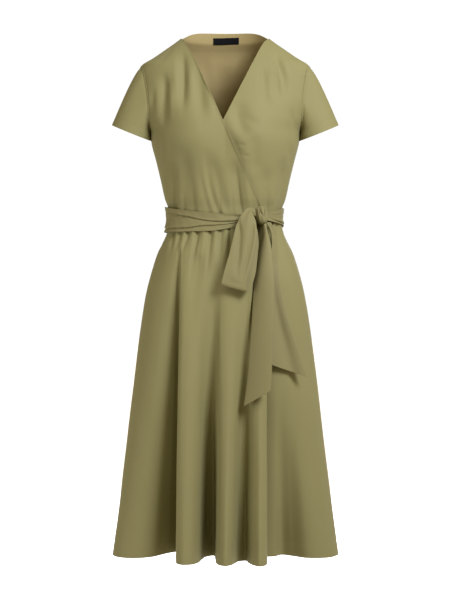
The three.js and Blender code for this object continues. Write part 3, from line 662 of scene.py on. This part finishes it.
def back_skirt_grid(sizes):
    """Back of the skirt, from the left side seam to the right one."""
    ends = (LEFT_SKIRT_FOLDS[-2], RIGHT_SKIRT_FOLDS[1])
    return skirt_grid(BACK_SKIRT_FOLDS, 1, 0, *ends, BACK_SKIRT_COLUMNS, BACK_GATHERS, sizes, seams=[0, 1])


def sleeve_grid(side, sizes):
    """Sleeve: cubic curves from the armhole, out along the shoulder and down to an oval hem, all round."""
    u = np.linspace(0, 1, 140, endpoint=False)[None, :, None]
    v = mix(np.linspace(0, 1, 58), shares(58, 0.9), 0.5)[:, None, None]
    turn = np.radians(360 * (u if side > 0 else 1 - u))
    cosine, sine = np.cos(turn), np.sin(turn)
    z = mix(ARMPIT, SHOULDER_TIP, (1 - cosine) / 2)
    x = look_up(ARMHOLE, 1, z)
    front = look_up(BODY, 2, z)
    back = look_up(BODY, 3, z)
    share = np.minimum(1, x / look_up(BODY, 1, z))
    y = np.where(sine >= 0, -front, back) * (1 - share ** ROUND) ** (1 / ROUND)
    topness = ((1 - cosine) / 2) ** 3
    head = np.concatenate([side * (x - 1.1), y * 0.99, z], axis=2)
    centre_x, centre_z, half_wide, half_deep, slope, rise = SLEEVE_HEM
    across, deep = -half_wide * cosine, -half_deep * sine
    height = centre_z + across * slope + deep * rise
    hem = np.concatenate([side * (centre_x + across), deep, height], axis=2)
    mirror = np.array([side, 1, 1])
    leave = mix(HEM_WAY * mirror, SHOULDER_WAY * mirror, topness)
    leave = leave / np.linalg.norm(leave, axis=2, keepdims=True)
    reach = np.linalg.norm(head - hem, axis=2, keepdims=True)
    grid = cubic(head, leave * reach * mix(1, 0.5, topness), hem, HEM_WAY * mirror * reach, 1 - v)
    above_hem = lengths(grid, 0)
    from_head = above_hem[-1:] - above_hem
    round_it = np.degrees(turn)[:, :, 0]
    folds = 0
    for place, wide, depth, lean in SLEEVE_FOLDS:
        folds = folds + depth * bell(round_it - (place + lean * from_head), wide)
    relief = -sizes.crease_depth * folds * smooth(above_hem / 30) * smooth(from_head / 14)
    lifted = 1.3 * bell(from_head, 4) - 0.7 * bell(from_head - 7, 3)
    lifted = lifted * smooth((1 - cosine[:, :, 0]) / 0.3) * (1 + 0.2 * np.sin(round_it * 0.7))
    relief = relief - 0.3 * bell(above_hem - SLEEVE_TURNING, 1.8) + lifted
    relief = relief + unevenness(grid[:, :, 1] * 1.4, grid[:, :, 2], 0.35) * smooth(from_head / 20)
    return grid + normals(grid, True) * relief[:, :, None]


def belt_grid(sizes):
    """Belt band: it follows the waist outside both fronts, in lengthwise folds, one layer over the next."""
    first, last = BELT_BAND[0, 0], BELT_BAND[-1, 0]
    angle = mix(first, last, np.linspace(0, 1, 360))[None, :]
    v = shares(44, 0.55)[:, None]
    top, bottom, out = (look_up(BELT_BAND, k, angle) for k in (1, 2, 3))
    z = mix(bottom, top, v)
    body_x, body_y = ring(BODY, angle, z)
    skirt_x, skirt_y = ring(SKIRT, angle, z)
    x, y = np.where(z > WAIST, body_x, skirt_x), np.where(z > WAIST, body_y, skirt_y)
    wide = top - bottom
    push = BELT_OUT + out + 0 * z
    start = smooth((angle - first) / 30)
    for k, lip, groove in ((1, 1.6, 3.6), (2, 1.2, 2.8)):
        off = (v - look_up(BAND_FOLDS, k, angle)) * wide
        step = np.where(off > 0, lip * bell(off, 5), -0.5 * groove * np.exp(off / 4))
        ease = 1 if k == 1 else smooth((angle - 275) / 50) + 0.35
        push = push + sizes.crease_depth * ease * start * (step - 0.5 * groove * bell(off, 1.1))
    fine = 0.5 * np.sin(angle / 1.7 + v * 9) + 0.4 * np.sin(angle / 2.9 - v * 6 + 1)
    push = push + 0.35 * fine * start
    pulled = smooth((angle - 330) / 50)
    push = push + 0.9 * pulled * np.cos(v * 15 + angle / 9)
    size = np.hypot(x, y * 1.5)
    return np.stack([x + x / size * push, y + y * 1.5 / size * push, z], axis=2)


def loop_grid(sizes):
    """Bow loop: a strip carried along the rows of its table, pleated at the knot and bowed across."""
    v = np.linspace(0, 1, 230)[:, None]
    side = -shares(30, 0.5)[None, :] * 2 + 1
    row = v * (len(LOOP) - 1)
    numbers = np.arange(len(LOOP), dtype=float)
    x, y, z, half, tilt = (through(numbers, LOOP[:, k], row) for k in range(5))
    turn = np.radians(tilt)
    bow = 4 * (1 - side ** 2) * np.abs(np.cos(np.pi * v))
    grid = np.stack([x + side * half * np.cos(turn), y - bow, z - side * half * np.sin(turn)], axis=2)
    out = normals(grid)
    along = lengths(grid, 0)
    near = np.exp(-np.minimum(along, along[-1:] - along) / 42)
    pleats = 1.5 * near * np.cos(side * 7.5 + 0.8) * smooth(np.minimum(along, along[-1:] - along) / 12)
    front = smooth((0.52 - v) / 0.06)
    fade = smooth((v - 0.16) / 0.12) * smooth((0.5 - v) / 0.12)
    crease = 5.4 * fade * bell(side + 0.55 - 4.5 * (v - 0.308), 0.22)
    crease = crease + 3.6 * fade * bell(side - 0.66, 0.13)
    crease = crease * front
    ridge = 1.8 * front * bell(side - 0.15, 0.3) * smooth(v / 0.12)
    push = BELT_WALL + sizes.crease_depth * (pleats - crease + ridge)
    return grid + out * push[:, :, None]


def tail_grid(table, end, ridge, hollow, pleats):
    """Belt end: a strip between two edges, cut on the slant, with lengthwise ridges that fade downwards."""
    drop = 1 - np.linspace(0, 1, 170)[:, None]
    u = shares(34, 0.5)[None, :]
    edges = []
    for end_z, end_x, end_y, k in ((*end[:3], 1), (*end[3:], 3)):
        z = mix(table[0, 0], end_z, drop)
        beyond = np.clip((table[-1, 0] - z) / (table[-1, 0] - end_z), 0, 1)
        x = mix(look_up(table, k, z), end_x, beyond)
        y = mix(look_up(table, k + 1, z), end_y, beyond)
        edges.append(np.stack([x, y, z], axis=2))
    grid = mix(edges[0], edges[1], u[:, :, None])
    wave = 4 * u * (1 - u) * ridge * (1 - drop * 0.5)
    rolled = smooth(drop / 0.1) * (1 - 0.9 * smooth((drop - 0.3) / 0.25))
    wave = wave - 1.4 * ridge * np.exp(-u / 0.16) * rolled
    near = np.exp(-drop * 9) * smooth(drop / 0.03)
    wave = wave - hollow * bell(u - 0.64, 0.2) * smooth((drop - 0.2) / 0.5)
    wave = wave + 1.6 * near * np.cos(u * np.pi * pleats + 0.5)
    wave = wave + 0.9 * np.sin(drop * 13 + u * 2.4) * smooth(drop / 0.3) * (1 - drop * 0.3)
    grid[:, :, 1] -= wave
    return grid


def knot_grid():
    """Knot: a rounded lump round a leaning axis, with sharp pleats that run out at its lower end."""
    down = KNOT_DOWN / np.linalg.norm(KNOT_DOWN)
    out = np.array([0.0, -1.0, 0.0]) - down * -down[1]
    out = out / np.linalg.norm(out)
    across = np.cross(down, out)
    pole = np.linspace(0, np.pi, 58)[1:-1, None]
    turn = np.linspace(0, 2 * np.pi, 132, endpoint=False)[None, :]
    dents = 0
    for place, wide, deep in KNOT_PLEATS:
        line = place + 0.22 * np.sin(2.2 * pole + 5 * place)
        away = (turn + np.pi) % (2 * np.pi) - np.pi - line
        dents = dents + deep * np.exp(-np.abs(away / wide) ** 1.3) * smooth((2.3 - pole) / 1.2)
    fine = 0.04 * np.sin(9 * turn + 1.5 * np.cos(pole))
    size = 1 - np.sin(pole) ** 0.5 * (dents + fine)
    blunt = np.sin(pole) ** np.where(pole < np.pi / 2, 0.45, 0.6)
    ring_out = (blunt * signed_power(np.cos(turn), 0.7) * KNOT_OUT * size)[:, :, None] * out
    ring_across = (blunt * signed_power(np.sin(turn), 0.85) * KNOT_WIDE * size)[:, :, None] * across
    return KNOT_CENTRE - (np.cos(pole) * KNOT_LONG + 0 * turn)[:, :, None] * down + ring_out + ring_across


def label_grid():
    """Label: a small rectangle that follows the inside of the back, just clear of it."""
    centre, half, top, bottom = LABEL
    z = mix(bottom, top, shares(16, 0.6))[:, None]
    x = mix(centre - half, centre + half, shares(44, 0.6))[None, :]
    back_x, back_y = ring(BODY, 180 - angle_at(BODY, x, z), z)
    wave = 0.25 * np.sin(x / 9.0) * np.cos(z / 7.0)
    return np.stack([back_x + 0 * z, back_y - CLOTH_WALL - 1.2 + wave, z + 0.026 * (x - centre)], axis=2)


def add_node(tree, kind, values=(), wires=(), **settings):
    """Adds one node to a tree, with its settings, its input values and its wires from other sockets."""
    node = tree.nodes.new(kind)
    for name, value in settings.items():
        setattr(node, name, value)
    for name, value in dict(values).items():
        node.inputs[name].default_value = value
    for name, socket in dict(wires).items():
        tree.links.new(socket, node.inputs[name])
    return node


def new_material(name, roughness, specular):
    """A node material with a Principled shader, and the place on the object for its textures."""
    material = bpy.data.materials.new(name)
    material.use_nodes = True
    tree = material.node_tree
    tree.nodes.clear()
    shader = tree.nodes.new("ShaderNodeBsdfPrincipled")
    shader.inputs["Roughness"].default_value = roughness
    shader.inputs["IOR"].default_value = 1.5
    shader.inputs["Specular IOR Level"].default_value = specular
    add_node(tree, "ShaderNodeOutputMaterial", wires={"Surface": shader.outputs["BSDF"]})
    place = add_node(tree, "ShaderNodeTexCoord").outputs["Object"]
    return material, tree, shader, place


def noise(tree, place, scale, detail, **values):
    """The strength of a noise texture of that scale at each place."""
    values = {"Scale": scale, "Detail": detail, **values}
    return add_node(tree, "ShaderNodeTexNoise", values, {"Vector": place}).outputs["Fac"]


def blended(tree, low, high, factor):
    """The colour between two colours that a socket chooses."""
    values = {MIX_A: (*low, 1), MIX_B: (*high, 1)}
    return add_node(tree, "ShaderNodeMix", values, {0: factor}, data_type="RGBA").outputs[MIX_OUT]


def crepe_material(name, colour, roughness, sheen):
    """Polyester crepe, woven from hard-twisted yarn: dull, pebbled and dry, with a faint sheen at its edges.

    The real pebble is 0.4 mm across; it is drawn at 1.1 mm so that it shows.
    """
    material, tree, shader, place = new_material(name, roughness, 0.18)
    pebble = noise(tree, place, 1 / 0.0011, 3, Roughness=0.6)
    slub = add_node(tree, "ShaderNodeMapping", {"Scale": (260, 260, 70)}, {"Vector": place})
    streak = noise(tree, slub.outputs[0], 1, 2)
    dye = noise(tree, place, 9, 2, Roughness=0.45)
    dark, plain, light = (tuple(min(1, c * factor) for c in colour) for factor in (0.93, 1.0, 1.06))
    flecks = blended(tree, dark, light, pebble)
    soft = add_node(
        tree, "ShaderNodeMix", {0: 0.5, MIX_B: (*plain, 1)}, {MIX_A: flecks}, data_type="RGBA"
    ).outputs[MIX_OUT]
    uneven = add_node(tree, "ShaderNodeMapRange", {"To Min": 0.955, "To Max": 1.045}, {"Value": dye})
    wires = {0: soft, 1: uneven.outputs[0]}
    shade = add_node(tree, "ShaderNodeVectorMath", wires=wires, operation="MULTIPLY")
    tree.links.new(shade.outputs[0], shader.inputs["Base Color"])
    grain = add_node(tree, "ShaderNodeBump", {"Strength": 0.28, "Distance": 0.0003}, {"Height": pebble})
    weave = add_node(
        tree, "ShaderNodeBump", {"Strength": 0.16, "Distance": 0.0006},
        {"Height": streak, "Normal": grain.outputs[0]},
    )
    tree.links.new(weave.outputs[0], shader.inputs["Normal"])
    shader.inputs["Sheen Weight"].default_value = sheen
    shader.inputs["Sheen Roughness"].default_value = 0.5
    shader.inputs["Sheen Tint"].default_value = (0.95, 0.92, 0.78, 1)
    return material


def satin_material(colour):
    """Woven label satin: smooth filament yarn, black and almost without gloss, with a fine rib."""
    material, tree, shader, place = new_material("woven_label_satin", 0.7, 0.08)
    rib = add_node(
        tree, "ShaderNodeTexWave", {"Scale": 1 / 0.0022, "Distortion": 0.3}, {"Vector": place},
        wave_type="BANDS", bands_direction="Z",
    ).outputs["Fac"]
    tone = blended(tree, [c * 0.8 for c in colour], [c * 1.3 for c in colour], noise(tree, place, 900, 2))
    tree.links.new(tone, shader.inputs["Base Color"])
    bump = add_node(tree, "ShaderNodeBump", {"Strength": 0.2, "Distance": 0.0002}, {"Height": rib})
    tree.links.new(bump.outputs[0], shader.inputs["Normal"])
    return material


def floor_material(colour):
    """Matt white studio paper: almost no gloss and a very slight tone, lit from within to hold its white."""
    material, tree, shader, place = new_material("studio_paper", 0.9, 0.1)
    tone = blended(tree, [c * 0.99 for c in colour], colour, noise(tree, place, 0.6, 1))
    tree.links.new(tone, shader.inputs["Base Color"])
    tree.links.new(tone, shader.inputs["Emission Color"])
    shader.inputs["Emission Strength"].default_value = 0.9
    return material


def new_piece(name, points, faces, materials, layout=None):
    """A mesh object at the origin from points in millimetres; layout gives their places on the cloth."""
    mesh = bpy.data.meshes.new(name)
    mesh.from_pydata((points * MM).tolist(), [], faces)
    if layout is not None:
        corner = np.empty(len(mesh.loops), int)
        mesh.loops.foreach_get("vertex_index", corner)
        mesh.uv_layers.new(name="Cloth").data.foreach_set("uv", (layout * MM)[corner].ravel())
    mesh.shade_smooth()
    piece = bpy.data.objects.new(name, mesh)
    bpy.context.scene.collection.objects.link(piece)
    for material in materials:
        mesh.materials.append(material)
    return piece


def quads(rows, columns, closed):
    """The faces of a grid; a closed one also joins its last column to its first."""
    j, i = np.mgrid[0:rows - 1, 0:columns if closed else columns - 1]
    row, following = j * columns, (i + 1) % columns
    corners = (row + i, row + following, row + columns + following, row + columns + i)
    return np.stack(corners, axis=2).reshape(-1, 4)


def cloth_piece(name, grid, materials, thickness, edge, closed):
    """A sheet of cloth: the grid as quads facing out, thickened inwards, with its rims rounded."""
    layout = np.stack([lengths(grid, 1), lengths(grid, 0)], axis=2).reshape(-1, 2)
    faces = quads(*grid.shape[:2], closed).tolist()
    piece = new_piece(name, grid.reshape(-1, 3), faces, materials, layout)
    wall = piece.modifiers.new("Thickness", "SOLIDIFY")
    wall.thickness = thickness
    wall.offset = -1
    wall.use_even_offset = True
    wall.material_offset = len(materials) - 1
    rim = piece.modifiers.new("Turned edge", "BEVEL")
    rim.width = edge
    rim.segments = 2
    rim.limit_method = "ANGLE"
    rim.angle_limit = np.radians(50)
    return piece


def knot_piece(materials):
    """The knot as a closed lump with a point at each end of its axis."""
    grid = knot_grid()
    rows, columns = grid.shape[:2]
    sides = quads(rows, columns, True)[:, [0, 3, 2, 1]]
    ends = np.stack([2 * grid[0].mean(0) - grid[1].mean(0), 2 * grid[-1].mean(0) - grid[-2].mean(0)])
    points = np.concatenate([grid.reshape(-1, 3), ends])
    turn = np.arange(columns)
    ahead = (turn + 1) % columns
    last_row = (rows - 1) * columns
    top = np.column_stack([np.full(columns, rows * columns), turn, ahead])
    foot = np.column_stack([np.full(columns, rows * columns + 1), last_row + ahead, last_row + turn])
    return new_piece("belt_knot_cloth", points, sides.tolist() + top.tolist() + foot.tolist(), materials)


def seat(piece, node):
    """Makes a piece ride with the dress and stand for its solid, which it hides."""
    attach(piece, "root")
    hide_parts(node)


def add_sheet(node, grid, cloth, closed=False):
    materials, thickness, edge, slot = cloth
    piece = cloth_piece(node + "_cloth", grid, materials, thickness, edge, closed)
    seat(piece, node)


class DressSizes(PropertyGroup):
    """Sizes of the dress that a user would change."""

    cloth: FloatProperty(
        name="Cloth", description="Thickness of the crepe with its turnings", default=0.0012, unit="LENGTH"
    )
    belt_cloth: FloatProperty(
        name="Belt cloth", description="Thickness of the doubled belt", default=0.002, unit="LENGTH"
    )
    crease_depth: FloatProperty(
        name="Crease depth", description="How deep the fine creases and gathers are, 1 as in the garment",
        default=1.0, min=0, max=1.5, subtype="FACTOR",
    )
    hem_depth: FloatProperty(
        name="Hem depth", description="Height of the turned skirt hem", default=0.03, unit="LENGTH"
    )
    floor_height: FloatProperty(
        name="Floor height", description="Height of the floor below the side neck points",
        default=-1.42, unit="LENGTH",
    )
    key_power: FloatProperty(
        name="Key light", description="Power of the softbox at the upper right", default=97, unit="POWER"
    )
    side_power: FloatProperty(
        name="Side light", description="Power of the softbox at the left", default=33, unit="POWER"
    )
    back_power: FloatProperty(
        name="Back light", description="Power of the softbox behind the dress", default=60, unit="POWER"
    )
    fill_strength: FloatProperty(
        name="Fill", description="Strength of the warm light from all round", default=0.45, min=0
    )


class DressColours(PropertyGroup):
    """Colours of the dress that a user would change."""

    crepe: FloatVectorProperty(
        name="Crepe", description="Outside of the dress", default=linear(0x7E784D), subtype="COLOR", size=3
    )
    # Painted light: the inside is coloured lighter and warmer than the outside, to stand in for light
    # shining through the thin crepe and to lift the shade inside the dress.
    reverse: FloatVectorProperty(
        name="Crepe reverse", description="Inside of the dress", default=linear(0x9B8A5B),
        subtype="COLOR", size=3,
    )
    belt: FloatVectorProperty(
        name="Belt crepe", description="The doubled belt", default=linear(0x79724A), subtype="COLOR", size=3
    )
    label: FloatVectorProperty(
        name="Label", description="The blank woven label", default=linear(0x09090B), subtype="COLOR", size=3
    )
    fill: FloatVectorProperty(
        name="Fill light", description="Warm light from all round", default=(1, 0.85, 0.5),
        subtype="COLOR", size=3,
    )
    softbox: FloatVectorProperty(
        name="Softboxes", description="Light of the softboxes", default=(0.96, 1, 1.2),
        subtype="COLOR", size=3, soft_max=1.5,
    )
    floor: FloatVectorProperty(
        name="Floor", description="Studio paper", default=linear(0xFCFCFC), subtype="COLOR", size=3
    )


def shared_crepe(name, *looks):
    """The crepe of that name, made at its first use."""
    return bpy.data.materials.get(name) or crepe_material(name, *looks)


def crepe_cloth(scene):
    """The dress cloth: its outside and inside, thickness, edge and the record's slot."""
    face = shared_crepe("crepe_face", scene.dress_colours.crepe, 0.72, 0.05)
    # The inside takes this lighter, warmer copy of the crepe, which is painted light.
    back = shared_crepe("crepe_reverse", scene.dress_colours.reverse, 0.78, 0.04)
    return [face, back], scene.dress_sizes.cloth, CLOTH_EDGE, "crepe"


def belt_cloth(scene):
    """The doubled belt cloth, with the same finish on both sides."""
    face = shared_crepe("doubled_belt_crepe", scene.dress_colours.belt, 0.7, 0.05)
    return [face], scene.dress_sizes.belt_cloth, BELT_EDGE, "belt_crepe"


class WRAPDRESS_OT_bodice(Operator):
    """Makes the two fronts and the back of the upper body"""

    bl_idname = "wrapdress.bodice"
    bl_label = "Bodice"

    def execute(self, context):
        sizes, cloth = context.scene.dress_sizes, crepe_cloth(context.scene)
        add_sheet("bodice_front_right", right_front_grid(sizes), cloth)
        add_sheet("bodice_front_left", left_front_grid(sizes), cloth)
        add_sheet("bodice_back", back_grid(sizes), cloth)
        return {"FINISHED"}


class WRAPDRESS_OT_sleeves(Operator):
    """Makes the two short set-in sleeves"""

    bl_idname = "wrapdress.sleeves"
    bl_label = "Sleeves"

    def execute(self, context):
        sizes, cloth = context.scene.dress_sizes, crepe_cloth(context.scene)
        for hand, side in (("right", -1), ("left", 1)):
            add_sheet("sleeve_" + hand, sleeve_grid(side, sizes), cloth, closed=True)
        return {"FINISHED"}


class WRAPDRESS_OT_skirt(Operator):
    """Makes the overlapping fronts and the back of the skirt"""

    bl_idname = "wrapdress.skirt"
    bl_label = "Skirt"

    def execute(self, context):
        sizes, cloth = context.scene.dress_sizes, crepe_cloth(context.scene)
        add_sheet("skirt_front_right", right_skirt_grid(sizes), cloth)
        add_sheet("skirt_front_left", left_skirt_grid(sizes), cloth)
        add_sheet("skirt_back", back_skirt_grid(sizes), cloth)
        return {"FINISHED"}


class WRAPDRESS_OT_belt(Operator):
    """Makes the belt band round the waist"""

    bl_idname = "wrapdress.belt"
    bl_label = "Belt band"

    def execute(self, context):
        sizes, cloth = context.scene.dress_sizes, belt_cloth(context.scene)
        add_sheet("belt_band", belt_grid(sizes), cloth)
        return {"FINISHED"}


class WRAPDRESS_OT_bow(Operator):
    """Makes the knot, the hanging loop and the two belt ends"""

    bl_idname = "wrapdress.bow"
    bl_label = "Half bow"

    def execute(self, context):
        sizes, cloth = context.scene.dress_sizes, belt_cloth(context.scene)
        seat(knot_piece(cloth[0]), "belt_knot")
        add_sheet("belt_loop", loop_grid(sizes), cloth)
        front = tail_grid(FRONT_TAIL, FRONT_TAIL_END, ridge=7, hollow=0, pleats=2)
        add_sheet("belt_tail_front", front, cloth)
        back = tail_grid(BACK_TAIL, BACK_TAIL_END, ridge=0, hollow=7, pleats=2)
        add_sheet("belt_tail_back", back, cloth)
        return {"FINISHED"}


class WRAPDRESS_OT_label(Operator):
    """Makes the blank woven label inside the back neck"""

    bl_idname = "wrapdress.label"
    bl_label = "Neck label"

    def execute(self, context):
        satin = satin_material(context.scene.dress_colours.label)
        cloth = [satin], LABEL_CLOTH, LABEL_EDGE, "label_satin"
        add_sheet("neck_label", label_grid(), cloth)
        return {"FINISHED"}


class WRAPDRESS_OT_stage(Operator):
    """Makes the studio: pale floor, white backdrop, warm fill light, three softboxes and the camera"""

    bl_idname = "wrapdress.stage"
    bl_label = "Studio"

    def execute(self, context):
        scene = context.scene
        sizes, colours = scene.dress_sizes, scene.dress_colours
        corners = np.array([(-1, -1), (1, -1), (1, 1), (-1, 1)]) * FLOOR_HALF / MM
        points = np.column_stack([corners, np.full(4, sizes.floor_height / MM)])
        floor = new_piece("studio_floor", points, [[0, 1, 2, 3]], [floor_material(colours.floor)])
        floor.visible_diffuse = False
        world = bpy.data.worlds.new("studio_white")
        world.use_nodes = True
        tree = world.node_tree
        tree.nodes.clear()
        seen = add_node(tree, "ShaderNodeLightPath").outputs["Is Camera Ray"]
        white, warm = (1, 1, 1, 1), (*colours.fill, 1)
        air = add_node(tree, "ShaderNodeBackground", {"Color": white, "Strength": BACKDROP})
        fill = add_node(tree, "ShaderNodeBackground", {"Color": warm, "Strength": sizes.fill_strength})
        wires = {0: seen, 1: fill.outputs[0], 2: air.outputs[0]}
        either = add_node(tree, "ShaderNodeMixShader", wires=wires)
        add_node(tree, "ShaderNodeOutputWorld", wires={"Surface": either.outputs[0]})
        scene.world = world
        for name, power, size, place in SOFTBOXES:
            light = bpy.data.lights.new(name, "AREA")
            light.energy = getattr(sizes, power)
            light.size = size
            light.color = colours.softbox
            lamp = bpy.data.objects.new(name, light)
            lamp.location = place
            lamp.rotation_euler = (SOFTBOX_AIM - Vector(place)).to_track_quat("-Z", "Y").to_euler()
            lamp.visible_camera = False
            scene.collection.objects.link(lamp)
        scene.view_settings.view_transform = "Standard"
        lens = bpy.data.cameras.new("camera")
        lens.sensor_fit = "VERTICAL"
        lens.sensor_width = FILM
        lens.sensor_height = FILM
        lens.lens = FILM * -CAMERA_PLACE[1] / PICTURE_HEIGHT
        camera = bpy.data.objects.new("camera", lens)
        camera.location = CAMERA_PLACE
        camera.rotation_euler = (np.pi / 2, 0, 0)
        scene.collection.objects.link(camera)
        scene.camera = camera
        return {"FINISHED"}


class WRAPDRESS_PT_panel(Panel):
    """Lists the pieces of the dress with its sizes and colours"""

    bl_idname = "WRAPDRESS_PT_panel"
    bl_label = "Wrap Dress"
    bl_space_type = "VIEW_3D"
    bl_region_type = "UI"
    bl_category = "Dress"

    def draw(self, context):
        column = self.layout.column()
        for group in (context.scene.dress_sizes, context.scene.dress_colours):
            for name in group.__annotations__:
                column.prop(group, name)
        for operator in OPERATORS:
            column.operator(operator.bl_idname)


OPERATORS = (
    WRAPDRESS_OT_stage, WRAPDRESS_OT_bodice, WRAPDRESS_OT_sleeves, WRAPDRESS_OT_skirt,
    WRAPDRESS_OT_belt, WRAPDRESS_OT_bow, WRAPDRESS_OT_label,
)
CLASSES = (DressSizes, DressColours, *OPERATORS, WRAPDRESS_PT_panel)


def register():
    """Adds the classes and their settings to Blender."""
    for entry in CLASSES:
        bpy.utils.register_class(entry)
    bpy.types.Scene.dress_sizes = PointerProperty(type=DressSizes)
    bpy.types.Scene.dress_colours = PointerProperty(type=DressColours)


def unregister():
    """Takes them out again."""
    del bpy.types.Scene.dress_colours
    del bpy.types.Scene.dress_sizes
    for entry in reversed(CLASSES):
        bpy.utils.unregister_class(entry)


def main():
    register()
    bpy.ops.wrapdress.stage()
    bpy.ops.wrapdress.bodice()
    bpy.ops.wrapdress.sleeves()
    bpy.ops.wrapdress.skirt()
    bpy.ops.wrapdress.belt()
    bpy.ops.wrapdress.bow()
    bpy.ops.wrapdress.label()


if __name__ == "__main__":
    main()
